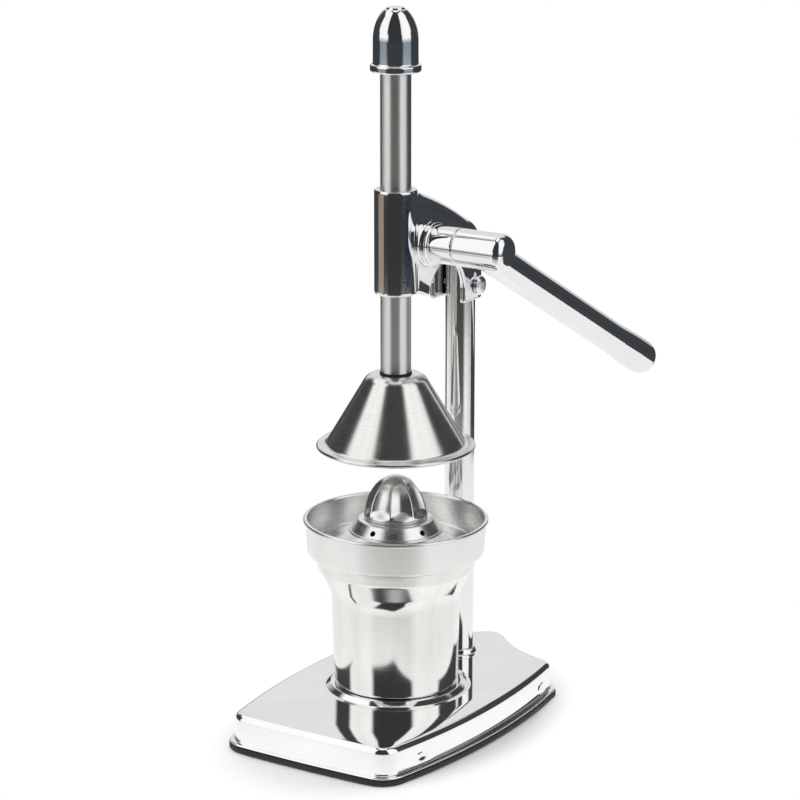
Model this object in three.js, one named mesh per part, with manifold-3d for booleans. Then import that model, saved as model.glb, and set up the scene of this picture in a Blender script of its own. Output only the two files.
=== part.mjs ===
// Lever citrus juice press with a rack and pinion, standing on a pressed base.
// Millimetres, +Z up. The origin lies on the press axis, on the surface that the press stands on.
// The front is -Y, the lever is on the +X side and the column stands behind the cup, at +Y.
import * as THREE from "three";
import { mergeVertices } from "three/addons/utils/BufferGeometryUtils.js";
import Module from "manifold-3d";

const wasm = await Module();
wasm.setup();

// Facet counts and repeats
const bigSides = 36;
const roundSides = 24;
const smallSides = 12;
const cornerSteps = 3;
const outlineSteps = { front: 4, frontCorner: 6, side: 6, rearCorner: 4, tail: 8 };

// Clearances shared by the whole press
const seatGap = 0.1;
const fitGap = 0.2;
const overrun = 2;
const weldStep = 0.0001;

// Base: a pressed cover with an outward flange, a crimped bottom plate and a rubber mat
const baseHeight = 24.5;
const baseHalfWidth = 69.2;
const baseFrontHalfWidth = 60.2;
const baseRearHalfWidth = 62;
const baseFrontReach = 101;
const baseFrontBow = 1.1;
const baseRearReach = 123.5;
const baseShoulderReach = 94.5;
const baseFrontCorner = 13;
const baseRearCorner = 9;
const baseHollowReach = 40;
const baseNoseReach = 12;
const baseEdgeRadius = 4;
const sheetWall = 1.5;
const flangeWidth = 3.5;
const matHeight = 4.3;
const matLip = 3.8;
const matEdge = 1;
const bottomPlateWall = 1.5;
const platformHeight = 2.5;
const platformRadius = 41;
const platformEdge = 43.5;
const platformFoot = 46;
const columnSeatHeight = 3.2;
const columnSeatRadius = 10.4;
const columnSeatEdge = 11.2;
const columnSeatFoot = 13.3;

// Height of the pivot, which carries the head, the lever and the top of the rod with it
const pivotHeight = 308.5;

// Column with its plug, bolt and washer
const columnBack = 75;
const columnRadius = 9.5;
const columnWall = 1.8;
const columnBelowPivot = 12.5;
const plugHeight = 24;
const boltRadius = 5;
const boltFlats = 17;
const boltHeadHeight = 6.4;
const boltReach = 18;
const columnWasherRadius = 10;
const columnWasherWall = 2.5;

// Head casting: guide for the rod in front, bridge and socket for the column behind
const guideRadius = 13.3;
const guideBelowPivot = 29.5;
const guideAbovePivot = 36;
const guideEdge = 1.2;
const bridgeHalfWidth = 12.8;
const headRearDrop = 52;
const headCorner = 8;
const legBelowPivot = 46.5;
const archBack = 38.5;
const archBelowPivot = 35;
const archHalf = 20.5;
const archRise = 19;
const pocketBelowPivot = 11;
const clampBelowPivot = 37.5;
const clampRadius = 2.9;
const clampHeadRadius = 6.3;
const clampHeadHeight = 3.6;
const clampSlotWidth = 1.6;
const clampSlotLength = 6.6;
const clampSlotDepth = 1.8;
const clampNutFlats = 10;
const clampNutWall = 5;
const clampTail = 1.5;

// Pivot: shaft with pinion and bushes, carried by the boss on the lever side
const pivotBack = 19;
const gearModule = 2;
const pinionTeeth = 12;
const pinionWidth = 14;
const gearBacklash = 0.35;
const pressureAngle = THREE.MathUtils.degToRad(20);
const rackTipShare = 0.8;
const rackRootShare = 1.25;
const pinionTipShare = 0.9;
const pinionRootShare = 1.2;
const rackTeeth = 14;
const rackCentreAbovePivot = 18.85;
const shaftRadius = 6;
const bushRadius = 8;
const bossRadius = 11.8;
const bossReach = 34.5;
const bossRootRadius = 13.8;
const bossRootReach = 17.5;
const farBossReach = 17.5;
const bossEdge = 0.8;
const chamberGap = 1.5;
const shaftWasherRadius = 10;
const shaftWasherWall = 1.2;
const circlipRadius = 8.2;
const circlipWall = 1.2;
const circlipDepth = 0.8;
const circlipMouth = 5;
const shaftTail = 1.5;
const pinRadius = 1.5;
const pinLength = 18;

// Lever: hub on the shaft and a round arm with a swollen end
const hubRadius = 11.8;
const hubEnd = 69.5;
const hubEndRounding = 6;
const hubFloor = 7;
const armPlace = 50;
const armRadius = 10.15;
const armRootRadius = 10.3;
const armLength = 238.5;
const armSlope = THREE.MathUtils.degToRad(28.6);
const armSwellRadius = 11.2;
const armSwellStart = 192;
const armSwellPeak = 217;
const setScrewRadius = 2.5;
const setScrewPlace = 42;
const setScrewLength = 4.6;
const setScrewSocket = 1.3;
const setScrewSocketDepth = 2.4;

// Press rod with its cap and its cone-shaped bell
const rodRadius = 9.5;
const rodBottom = 229.2;
const rodAboveGuide = 85.5;
const rodChamfer = 0.8;
const capSocket = 13.5;
const capFlangeRadius = 15.65;
const capFlangeHeight = 4.2;
const capFootRadius = 14.2;
const capBodyRadius = 13.9;
const capHeight = 39;
const capShoulderRise = 22.5;
const capButtonRadius = 6.1;
const capButtonHeight = 2.2;
const capRoofRadius = 8.2;
const studRadius = 4;
const studLength = 22;
const gasketWall = 0.8;
const gasketRadius = 10.1;
const bellTopRadius = 17.4;
const bellShoulder = 8;
const bellFootRadius = 43.4;
const bellRimRadius = 49.6;
const bellHeight = 47.3;
const bellRimHeight = 2.4;
const bellWall = 1.2;
const bellWasherRadius = 10;
const bellWasherWall = 1.6;
const bellScrewRadius = 4;
const bellScrewFlats = 13;
const bellScrewHead = 5.3;
const bellScrewReach = 16;

// Juice cup, strainer bowl and reamer
const cupFootRadius = 36.4;
const cupFootRounding = 2.6;
const cupWallTopRadius = 40.6;
const cupWallHeight = 57;
const cupFlareRadius = 49.6;
const cupFlareHeight = 79;
const cupRimRadius = 51.5;
const cupRimHeight = 3.8;
const cupHeight = 86.6;
const cupWall = 1;
const strainerRimRadius = 58;
const strainerRimBead = 1.3;
const strainerWallRadius = 56.6;
const strainerFootRadius = 55.4;
const strainerHeight = 21.5;
const strainerFootRounding = 2.6;
const strainerTrough = 0.7;
const strainerWall = 1.2;
const strainerSlope = 0.46;
const strainerFloor = 2.2;
const collarFootRadius = 29.3;
const collarStep = 1.1;
const collarBandRadius = 28.3;
const collarTopRadius = 21.2;
const collarHeight = 8.4;
const collarShoulder = 2.4;
const collarHoleRadius = 1.85;
const collarHoles = 5;
const collarHoleRise = 2.7;
const collarHoleTurn = THREE.MathUtils.degToRad(-18);
const collarMouthRadius = 12;
const reamerRadius = 20;
const reamerHeight = 28;
const reamerRimHeight = 3;
const reamerWall = 1.4;
const reamerRibs = 8;
const reamerRibShare = 0.1;
const reamerTipShare = 0.12;
const reamerBulge = 1.7;

// Profiles drawn as shares, outward or inward first and upward second
const stageFootShares = [[1 / 2, 0.08], [1 / 6, 0.3], [0, 0.6]];
const stageEdgeShares = [[1 / 2, 0.92], [0, 1]];
const crownShares = [
  [0, 0.06], [0.147, 0.06], [0.324, 0.181], [0.56, 0.373], [0.772, 0.581], [0.881, 0.704], [0.977, 0.84], [1.02, 0.92],
];
const clampDomeShares = [[1, 0], [1, 0.35], [0.85, 0.75], [0.5, 0.97], [0, 1]];
const swellShares = [[0, 0], [0.35, 0.14], [0.65, 0.5], [0.88, 0.88]];
const capDomeShares = [[0, 0], [0.08, 0.18], [0.24, 0.43], [0.51, 0.68], [0.67, 0.8], [0.87, 0.93]];
const bellRimShares = [[0.15, 0], [0, 0.3], [0, 0.7], [0.15, 1]];
const bellLipShares = [[0.3, 0.1], [0, 1]];
const cupFlareShares = [[0.15, 0.25], [0.33, 0.44], [0.7, 0.68], [0.95, 0.9]];
const cupRimOuterShares = [[0.2, 0], [0, 0.25], [0, 0.75], [0.2, 1]];
const cupRimInnerShares = [[0.55, 1], [0.7, 0.8]];
const strainerBeadShares = [[0.5, 0], [0, 0.7], [0, 1.3], [0.5, 2]];
const reamerLevelShares = [0, 0.12, 0.3, 0.5, 0.68, 0.84, 0.95];

// Heights that follow from the pivot
const guideBottom = pivotHeight - guideBelowPivot;
const guideTop = pivotHeight + guideAbovePivot;
const headLegBottom = pivotHeight - legBelowPivot;
const clampHeight = pivotHeight - clampBelowPivot;
const rodTop = guideTop + rodAboveGuide;
const capFlangeBottom = rodTop - capSocket;

// Geometry helpers
const point = (x, y) => new THREE.Vector2(x, y);

function tidy(geometry) {
  const bare = new THREE.BufferGeometry();
  bare.setAttribute("position", geometry.getAttribute("position").clone());
  if (geometry.index) bare.setIndex(geometry.index.clone());
  const merged = mergeVertices(bare, weldStep);
  const place = merged.getAttribute("position");
  const old = merged.index.array;
  const kept = [];
  let volume = 0;
  const a = new THREE.Vector3();
  const b = new THREE.Vector3();
  const c = new THREE.Vector3();
  for (let i = 0; i < old.length; i += 3) {
    const [p, q, r] = [old[i], old[i + 1], old[i + 2]];
    if (p === q || q === r || r === p) continue;
    kept.push(p, q, r);
    a.fromBufferAttribute(place, p);
    b.fromBufferAttribute(place, q);
    c.fromBufferAttribute(place, r);
    volume += a.dot(b.cross(c));
  }
  if (volume < 0) {
    for (let i = 0; i < kept.length; i += 3) [kept[i], kept[i + 1]] = [kept[i + 1], kept[i]];
  }
  merged.setIndex(kept);
  return merged;
}

function solid(geometry) {
  const closed = tidy(geometry);
  const vertProperties = Float32Array.from(closed.getAttribute("position").array);
  const triVerts = Uint32Array.from(closed.index.array);
  return new wasm.Manifold(new wasm.Mesh({ numProp: 3, vertProperties, triVerts }));
}

function shell(manifold) {
  const mesh = manifold.getMesh();
  const geometry = new THREE.BufferGeometry();
  geometry.setAttribute("position", new THREE.BufferAttribute(Float32Array.from(mesh.vertProperties), 3));
  geometry.setIndex(Array.from(mesh.triVerts));
  return geometry;
}

// The first geometry joined with the added ones, less the removed ones
function carve(start, added, removed) {
  let body = solid(start);
  for (const piece of added) body = body.add(solid(piece));
  for (const piece of removed) body = body.subtract(solid(piece));
  return shell(body);
}

function arc(cx, cy, radius, from, to, steps) {
  return Array.from({ length: steps + 1 }, (_, i) => {
    const angle = from + ((to - from) * i) / steps;
    return point(cx + radius * Math.cos(angle), cy + radius * Math.sin(angle));
  });
}

// A profile of radius and height turned round the Z axis
function turned(profile, sides) {
  const first = profile[0];
  const last = profile[profile.length - 1];
  const closes = first.x > 0 || last.x > 0;
  const points = closes ? [...profile, first.clone()] : profile;
  return new THREE.LatheGeometry(points, sides).rotateX(Math.PI / 2);
}

function tube(outer, inner, from, to, sides) {
  return turned([point(inner, from), point(outer, from), point(outer, to), point(inner, to)], sides);
}

function rod(radius, from, to, sides) {
  return turned([point(0, from), point(radius, from), point(radius, to), point(0, to)], sides);
}

// Points of a table of shares, laid between two places
const between = (shares, from, to) => shares.map(([across, up]) => point(
  from.x + (to.x - from.x) * across, from.y + (to.y - from.y) * up));

const alongX = (geometry) => geometry.rotateY(Math.PI / 2);

function block(x0, x1, y0, y1, z0, z1) {
  const box = new THREE.BoxGeometry(x1 - x0, y1 - y0, z1 - z0);
  return box.translate((x0 + x1) / 2, (y0 + y1) / 2, (z0 + z1) / 2);
}

// An outline drawn in the YZ plane, spread over a width along X
function alongWidth(outline, width) {
  const geometry = new THREE.ExtrudeGeometry(new THREE.Shape(outline), { depth: width, bevelEnabled: false });
  return geometry.translate(0, 0, -width / 2).applyMatrix4(
    new THREE.Matrix4().set(0, 0, 1, 0, 1, 0, 0, 0, 0, 1, 0, 0, 0, 0, 0, 1),
  );
}

function hexagon(flats, from, to) {
  return rod(flats / Math.sqrt(3), from, to, 6);
}

// A skin over rings of points with equal counts, closed by a fan at both ends
function skin(rings) {
  const count = rings[0].length;
  const places = rings.flat().flatMap((p) => [p.x, p.y, p.z]);
  const index = [];
  for (let r = 0; r + 1 < rings.length; r += 1) {
    for (let i = 0; i < count; i += 1) {
      const j = (i + 1) % count;
      const [a, b, c, d] = [r * count + i, r * count + j, (r + 1) * count + i, (r + 1) * count + j];
      index.push(a, b, d, a, d, c);
    }
  }
  for (const r of [0, rings.length - 1]) {
    const middle = new THREE.Vector3();
    for (const p of rings[r]) middle.add(p);
    middle.divideScalar(count);
    places.push(middle.x, middle.y, middle.z);
    const centre = places.length / 3 - 1;
    for (let i = 0; i < count; i += 1) {
      const [a, b] = [r * count + i, r * count + ((i + 1) % count)];
      if (r === 0) index.push(centre, b, a);
      else index.push(centre, a, b);
    }
  }
  const geometry = new THREE.BufferGeometry();
  geometry.setAttribute("position", new THREE.BufferAttribute(new Float32Array(places), 3));
  geometry.setIndex(index);
  return geometry;
}

// Finishes: colour, roughness and metalness
const finishes = {
  chrome: [0xd9dcdf, 0.06, 1],
  satin: [0xc2c5c8, 0.28, 1],
  brushed: [0xcfccc8, 0.3, 1],
  polished: [0xdedbd6, 0.1, 1],
  steel: [0xa9acb0, 0.35, 1],
  bronze: [0xb08d4f, 0.4, 1],
  dark: [0x2b2c2d, 0.6, 0.6],
  rubber: [0x161616, 0.85, 0],
};

const press = new THREE.Group();

function fit(group, name, finish, geometry) {
  const [color, roughness, metalness] = finishes[finish];
  const mesh = new THREE.Mesh(tidy(geometry), new THREE.MeshStandardMaterial({ color, roughness, metalness }));
  mesh.name = name;
  group.add(mesh);
  return mesh;
}

function groupAt(parent, x, y, z) {
  const group = new THREE.Group();
  group.position.set(x, y, z);
  parent.add(group);
  return group;
}

// Base outline: bowed front and sides, round corners and a nose behind the column
function baseOutline(inset) {
  const frontCorner = point(baseFrontHalfWidth - baseFrontCorner, baseFrontBow + baseFrontCorner - baseFrontReach);
  const rearCorner = point(baseRearHalfWidth - baseRearCorner, baseShoulderReach - baseRearCorner);
  const tilt = Math.atan2(baseHalfWidth - baseFrontHalfWidth, baseFrontReach - baseFrontCorner);
  const rise = Math.atan2(baseRearReach - baseShoulderReach, baseRearHalfWidth) / 2;
  const half = new THREE.Path();
  half.moveTo(0, -baseFrontReach);
  half.quadraticCurveTo(frontCorner.x / 2, -baseFrontReach, frontCorner.x, baseFrontBow - baseFrontReach);
  half.absarc(frontCorner.x, frontCorner.y, baseFrontCorner, -Math.PI / 2, -tilt, false);
  const bulge = 2 * baseHalfWidth - (baseFrontHalfWidth + baseRearHalfWidth) / 2;
  half.quadraticCurveTo(bulge, 0, rearCorner.x + baseRearCorner, rearCorner.y);
  const last = Math.PI / 2 - rise;
  half.absarc(rearCorner.x, rearCorner.y, baseRearCorner, 0, last, false);
  const end = arc(rearCorner.x, rearCorner.y, baseRearCorner, last, last, 1)[0];
  half.bezierCurveTo(
    end.x - baseHollowReach * Math.sin(last), end.y + baseHollowReach * Math.cos(last),
    baseNoseReach, baseRearReach, 0, baseRearReach,
  );
  const steps = Object.values(outlineSteps);
  const right = half.curves.flatMap((curve, i) => curve.getPoints(steps[i]))
    .filter((p, i, all) => i === 0 || p.distanceTo(all[i - 1]) > weldStep);
  const left = right.slice(1, -1).reverse().map((p) => point(-p.x, p.y));
  const all = [...right, ...left];
  return all.map((p, i) => {
    const before = all[(i + all.length - 1) % all.length];
    const after = all[(i + 1) % all.length];
    const along = after.clone().sub(before).normalize();
    return point(p.x - along.y * inset, p.y + along.x * inset);
  });
}

const baseRing = (inset, z) => baseOutline(inset).map((p) => new THREE.Vector3(p.x, p.y, z));

// A round raised stage in the base plate, with a soft foot; drop lowers it for the underside
function stage(top, edge, foot, height, drop) {
  const z = baseHeight - drop;
  return turned([
    point(0, z - overrun), point(foot, z - overrun), point(foot, z),
    ...between(stageFootShares, point(edge, z), point(foot, z + height)),
    ...between(stageEdgeShares, point(top, z), point(edge, z + height)), point(0, z + height),
  ], bigSides);
}

function buildBase() {
  const group = groupAt(press, 0, 0, 0);
  const flangeBottom = matHeight + seatGap;
  const flangeTop = flangeBottom + sheetWall;
  const edge = arc(baseEdgeRadius, baseHeight - baseEdgeRadius, baseEdgeRadius, Math.PI, Math.PI / 2, cornerSteps);
  const outside = skin([
    baseRing(-flangeWidth, flangeBottom), baseRing(-flangeWidth, flangeTop),
    baseRing(0, flangeTop), ...edge.map((p) => baseRing(p.x, p.y)),
  ]);
  const innerRadius = baseEdgeRadius - sheetWall;
  const innerEdge = arc(baseEdgeRadius, baseHeight - baseEdgeRadius, innerRadius, Math.PI, Math.PI / 2, cornerSteps);
  const inside = skin([baseRing(sheetWall, 0), ...innerEdge.map((p) => baseRing(p.x, p.y))]);
  const platform = (drop) => stage(platformRadius, platformEdge, platformFoot, platformHeight, drop);
  const seat = (drop) => stage(columnSeatRadius, columnSeatEdge, columnSeatFoot, columnSeatHeight, drop)
    .translate(0, columnBack, 0);
  const boltHole = rod(boltRadius + fitGap, 0, baseHeight + columnSeatHeight + overrun, smallSides)
    .translate(0, columnBack, 0);
  fit(group, "base_shell", "chrome", carve(outside, [platform(0), seat(0)],
    [inside, platform(sheetWall), seat(sheetWall), boltHole]));
  fit(group, "bottom_plate", "dark", skin([
    baseRing(sheetWall + fitGap, flangeBottom), baseRing(sheetWall + fitGap, flangeBottom + bottomPlateWall),
  ]));
  fit(group, "rubber_mat", "rubber", skin([
    baseRing(matEdge - matLip, 0), baseRing(-matLip, matEdge), baseRing(-matLip, matHeight),
  ]));
}

// Column, with the plug in its foot, the bolt from below and the clamp screw through its top
const columnFoot = baseHeight + columnSeatHeight + seatGap;

function buildColumn() {
  const group = groupAt(press, 0, columnBack, 0);
  const bore = columnRadius - columnWall;
  const crossHole = alongX(rod(clampRadius + fitGap, -columnRadius - overrun, columnRadius + overrun, smallSides))
    .translate(0, 0, clampHeight);
  fit(group, "column_tube", "chrome", carve(
    tube(columnRadius, bore, columnFoot, pivotHeight - columnBelowPivot, roundSides), [], [crossHole]));
  fit(group, "column_plug", "steel",
    tube(bore - fitGap, boltRadius + fitGap, columnFoot, columnFoot + plugHeight, roundSides));
  const seatUnder = baseHeight + columnSeatHeight - sheetWall - seatGap;
  const washerUnder = seatUnder - columnWasherWall;
  fit(group, "column_washer", "steel",
    tube(columnWasherRadius, boltRadius + fitGap, washerUnder, seatUnder, smallSides));
  const headTop = washerUnder - seatGap;
  fit(group, "column_bolt", "steel", carve(
    hexagon(boltFlats, headTop - boltHeadHeight, headTop),
    [rod(boltRadius, headTop - boltHeadHeight / 2, columnFoot + boltReach, smallSides)], []));
}

// One cross section of the bridge, which falls along the crown line towards the column
function headSection(y, top) {
  const round = arc(guideRadius - headCorner, top - headCorner, headCorner, 0, Math.PI / 2, cornerSteps + 1);
  const right = [point(guideRadius, headLegBottom - overrun), ...round];
  const left = right.slice().reverse().map((p) => point(-p.x, p.y));
  return [...right, ...left].map((p) => new THREE.Vector3(p.x, y, p.y));
}

function buildHead() {
  const group = groupAt(press, 0, 0, 0);
  const length = columnBack + guideRadius;
  const crown = between(crownShares, point(0, guideTop), point(length, guideTop - headRearDrop));
  const bridge = skin(crown.map((p) => headSection(p.x, p.y)));
  const legFrom = -Math.acos(bridgeHalfWidth / guideRadius);
  const plan = new THREE.Shape([
    point(-bridgeHalfWidth, 0), point(bridgeHalfWidth, 0),
    ...arc(0, columnBack, guideRadius, legFrom, Math.PI - legFrom, bigSides / 2),
  ]);
  const mask = new THREE.ExtrudeGeometry(plan, { depth: guideTop, bevelEnabled: false })
    .translate(0, 0, overrun);
  const guide = turned([
    point(0, guideBottom), point(guideRadius - guideEdge, guideBottom), point(guideRadius, guideBottom + guideEdge),
    point(guideRadius, guideTop - guideEdge), point(guideRadius - guideEdge, guideTop), point(0, guideTop),
  ], bigSides);
  const boss = alongX(turned([
    point(0, -farBossReach), point(bossRadius - bossEdge, -farBossReach), point(bossRadius, bossEdge - farBossReach),
    point(bossRadius, 0), point(bossRootRadius, 0), point(bossRootRadius, bossRootReach - bossEdge),
    point(bossRootRadius - bossEdge, bossRootReach), point(bossRadius, bossRootReach + bossEdge),
    point(bossRadius, bossReach - bossEdge / 2), point(bossRadius - bossEdge / 2, bossReach), point(0, bossReach),
  ], bigSides)).translate(0, pivotBack, pivotHeight);
  const under = headLegBottom - 2 * overrun;
  const archSpring = pivotHeight - archBelowPivot;
  const pocketTop = pivotHeight - pocketBelowPivot;
  const archStart = Math.PI - Math.asin((guideBottom - archSpring) / archRise);
  const archLine = arc(0, 0, 1, 0, archStart, 4 * cornerSteps)
    .map((p) => point(archBack + archHalf * p.x, archSpring + archRise * p.y));
  const air = alongWidth([
    point(-guideRadius - overrun, under - overrun), point(length + overrun, under - overrun),
    point(length + overrun, headLegBottom), point(archBack + archHalf, headLegBottom),
    ...archLine, point(-guideRadius - overrun, guideBottom),
  ], 4 * guideRadius);
  const pocketHalf = columnRadius + fitGap;
  const pocketFront = archBack + archHalf * Math.cos(archStart);
  const pocket = block(-pocketHalf, pocketHalf, pocketFront, columnBack, under, pocketTop);
  const socket = rod(pocketHalf, under, pocketTop, roundSides).translate(0, columnBack, 0);
  const pinionReach = gearModule * (pinionTeeth / 2 + pinionTipShare) + chamberGap;
  const chamberHalf = pinionWidth / 2 + seatGap + fitGap;
  const chamber = block(-chamberHalf, chamberHalf, 0, pivotBack + pinionReach, under, pivotHeight + pinionReach);
  const guideBore = rod(rodRadius + fitGap, guideBottom - overrun, guideTop + overrun, bigSides);
  const pivotBore = alongX(rod(bushRadius + fitGap, -farBossReach - overrun, bossReach + overrun, roundSides))
    .translate(0, pivotBack, pivotHeight);
  const clampHole = alongX(rod(clampRadius + fitGap, -guideRadius - overrun, guideRadius + overrun, smallSides))
    .translate(0, columnBack, clampHeight);
  const body = solid(bridge).intersect(solid(mask)).subtract(solid(air));
  fit(group, "head_casting", "chrome", carve(shell(body), [guide, boss],
    [pocket, socket, chamber, guideBore, pivotBore, clampHole]));

  const clamp = groupAt(group, guideRadius + seatGap, columnBack, clampHeight);
  const dome = turned([
    point(0, 0), ...between(clampDomeShares, point(0, 0), point(clampHeadRadius, clampHeadHeight)),
  ], smallSides);
  const slotLow = clampHeadHeight - clampSlotDepth;
  const slotHigh = clampHeadHeight + overrun;
  const slots = [[clampSlotLength, clampSlotWidth], [clampSlotWidth, clampSlotLength]]
    .map(([a, b]) => block(-a / 2, a / 2, -b / 2, b / 2, slotLow, slotHigh));
  const nutFrom = -2 * guideRadius - 2 * seatGap;
  const shank = rod(clampRadius, nutFrom - clampNutWall - clampTail, clampHeadHeight / 4, smallSides);
  fit(clamp, "clamp_screw", "chrome", alongX(carve(dome, [shank], slots)));
  fit(clamp, "clamp_nut", "steel", alongX(carve(
    hexagon(clampNutFlats, nutFrom - clampNutWall, nutFrom), [],
    [rod(clampRadius + fitGap, nutFrom - clampNutWall - overrun, nutFrom + overrun, smallSides)])));
  for (const [name, from, to] of [["boss_bush", chamberHalf, bossReach - seatGap],
    ["far_bush", seatGap - farBossReach, -chamberHalf]]) {
    const bush = alongX(tube(bushRadius, shaftRadius + fitGap, from, to, roundSides));
    fit(group, name, "bronze", bush.translate(0, pivotBack, pivotHeight));
  }
}

// One pinion tooth flank by the involute of the base circle
function pinionOutline() {
  const pitch = (gearModule * pinionTeeth) / 2;
  const baseCircle = pitch * Math.cos(pressureAngle);
  const tip = pitch + gearModule * pinionTipShare;
  const root = pitch - gearModule * pinionRootShare;
  const roll = (radius) => {
    const t = Math.sqrt(Math.max(0, (radius / baseCircle) ** 2 - 1));
    return t - Math.atan(t);
  };
  const halfAtPitch = Math.PI / (2 * pinionTeeth) - gearBacklash / (2 * pitch);
  const flank = [root, baseCircle, (baseCircle + pitch) / 2, pitch, (pitch + tip) / 2, tip];
  const outline = [];
  for (let tooth = 0; tooth < pinionTeeth; tooth += 1) {
    const centre = Math.PI + (2 * Math.PI * tooth) / pinionTeeth;
    for (const side of [-1, 1]) {
      const radii = side < 0 ? flank : flank.slice().reverse();
      for (const radius of radii) {
        const half = halfAtPitch + roll(pitch) - roll(radius);
        const angle = centre + side * half;
        outline.push(point(radius * Math.cos(angle), radius * Math.sin(angle)));
      }
    }
  }
  return outline;
}

function buildLever() {
  const group = groupAt(press, 0, pivotBack, pivotHeight);
  const washerFrom = -farBossReach - seatGap;
  const circlipFrom = washerFrom - shaftWasherWall - seatGap;
  const shaftFrom = circlipFrom - circlipWall - shaftTail;
  const shaftTo = hubEnd - hubFloor - seatGap;
  const groove = alongX(tube(shaftRadius + overrun, shaftRadius - circlipDepth,
    circlipFrom - circlipWall - seatGap, circlipFrom + seatGap / 2, roundSides));
  const pinHole = () => rod(pinRadius + fitGap, -pinLength, pinLength, smallSides);
  fit(group, "pivot_shaft", "steel", carve(alongX(rod(shaftRadius, shaftFrom, shaftTo, roundSides)), [],
    [groove, pinHole()]));
  const bore = alongX(rod(shaftRadius + fitGap, -pinionWidth, pinionWidth, roundSides));
  fit(group, "pinion_gear", "steel", carve(alongWidth(pinionOutline(), pinionWidth), [], [bore, pinHole()]));
  fit(group, "pinion_pin", "steel", rod(pinRadius, -pinLength / 2, pinLength / 2, smallSides));
  fit(group, "shaft_washer", "steel",
    alongX(tube(shaftWasherRadius, shaftRadius + fitGap, washerFrom - shaftWasherWall, washerFrom, roundSides)));
  const mouth = block(circlipFrom - 2 * circlipWall, circlipFrom + circlipWall, -circlipMouth / 2, circlipMouth / 2,
    0, circlipRadius + overrun);
  fit(group, "shaft_circlip", "steel", carve(alongX(tube(circlipRadius, shaftRadius - circlipDepth + fitGap,
    circlipFrom - circlipWall, circlipFrom, roundSides)), [], [mouth]));

  const hubStart = bossReach + fitGap;
  const roundEnd = arc(hubRadius - hubEndRounding, hubEnd - hubEndRounding, hubEndRounding, 0, Math.PI / 2,
    cornerSteps + 2);
  const hub = alongX(turned([
    point(0, hubStart), point(hubRadius - bossEdge / 2, hubStart), point(hubRadius, hubStart + bossEdge / 2),
    ...roundEnd, point(0, hubEnd),
  ], bigSides));
  const end = armLength - armSwellPeak;
  const tip = arc(0, 0, 1, 0, Math.PI / 2, cornerSteps + 3).map((p) => {
    return point(armSwellRadius * p.x, armSwellPeak + end * p.y);
  });
  const swell = swellShares.map(([along, grown]) => point(
    armRadius + (armSwellRadius - armRadius) * grown, armSwellStart + (armSwellPeak - armSwellStart) * along));
  const arm = turned([point(0, 0), point(armRootRadius, 0), ...swell, ...tip], roundSides)
    .rotateX(-Math.PI / 2 - armSlope).translate(armPlace, 0, 0);
  const hubBore = alongX(rod(shaftRadius + fitGap, hubStart - overrun, hubEnd - hubFloor, roundSides));
  const screwHole = rod(setScrewRadius + fitGap, -hubRadius - overrun, 0, smallSides).translate(setScrewPlace, 0, 0);
  fit(group, "lever", "chrome", carve(hub, [arm], [hubBore, screwHole]));
  const screwTop = -shaftRadius - seatGap;
  const socket = rod(setScrewSocket, screwTop - setScrewLength - overrun,
    screwTop - setScrewLength + setScrewSocketDepth, 6);
  fit(group, "lever_set_screw", "dark", carve(
    rod(setScrewRadius, screwTop - setScrewLength, screwTop, smallSides), [], [socket])
    .translate(setScrewPlace, 0, 0));
}

// The rack is cut in the back of the rod, with a gap opposite the pinion tooth at rest
function rackCut() {
  const pitch = Math.PI * gearModule;
  const pitchLine = pivotBack - (gearModule * pinionTeeth) / 2;
  const tip = pitchLine + gearModule * rackTipShare;
  const root = pitchLine - gearModule * rackRootShare;
  const gapAt = (y) => pitch / 4 + gearBacklash / 2 + (y - pitchLine) * Math.tan(pressureAngle);
  const outside = rodRadius + overrun;
  const first = -Math.floor(rackTeeth / 2) * pitch;
  const middle = pivotHeight + rackCentreAbovePivot;
  const start = middle - (rackCentreAbovePivot % pitch);
  const outline = [point(outside, start + first - pitch / 2)];
  outline.push(point(tip, start + first - pitch / 2));
  for (let gap = 0; gap < rackTeeth; gap += 1) {
    const z = start + first + gap * pitch;
    outline.push(point(tip, z - gapAt(tip)), point(root, z - gapAt(root)));
    outline.push(point(root, z + gapAt(root)), point(tip, z + gapAt(tip)));
  }
  const last = start + first + (rackTeeth - 1 / 2) * pitch;
  outline.push(point(tip, last), point(outside, last));
  return alongWidth(outline, 2 * rodRadius + overrun);
}

const bellTop = rodBottom - gasketWall - 2 * seatGap;

function bellProfile() {
  const foot = bellTop - bellHeight;
  const rimTop = foot + bellRimHeight;
  const coneFoot = rimTop + bellWall;
  const slope = Math.atan2(bellFootRadius - bellTopRadius, bellTop - coneFoot);
  const middle = bellTopRadius - bellShoulder * Math.tan((Math.PI / 2 - slope) / 2);
  const shoulder = (radius) => arc(middle, bellTop - bellShoulder, radius, slope, Math.PI / 2, 2 * cornerSteps);
  const outer = [
    ...between(bellRimShares, point(bellRimRadius, foot), point(bellFootRadius, rimTop)),
    ...between(bellLipShares, point(bellFootRadius, rimTop), point(bellRimRadius - bellWall, coneFoot)),
    ...shoulder(bellShoulder), point(bellScrewRadius + fitGap, bellTop),
  ];
  const inner = [
    point(bellScrewRadius + fitGap, bellTop - bellWall), ...shoulder(bellShoulder - bellWall).reverse(),
    point(bellFootRadius - bellWall / Math.cos(slope), coneFoot), point(bellFootRadius - bellWall / 2, foot),
  ];
  return [...outer, ...inner];
}

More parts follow.
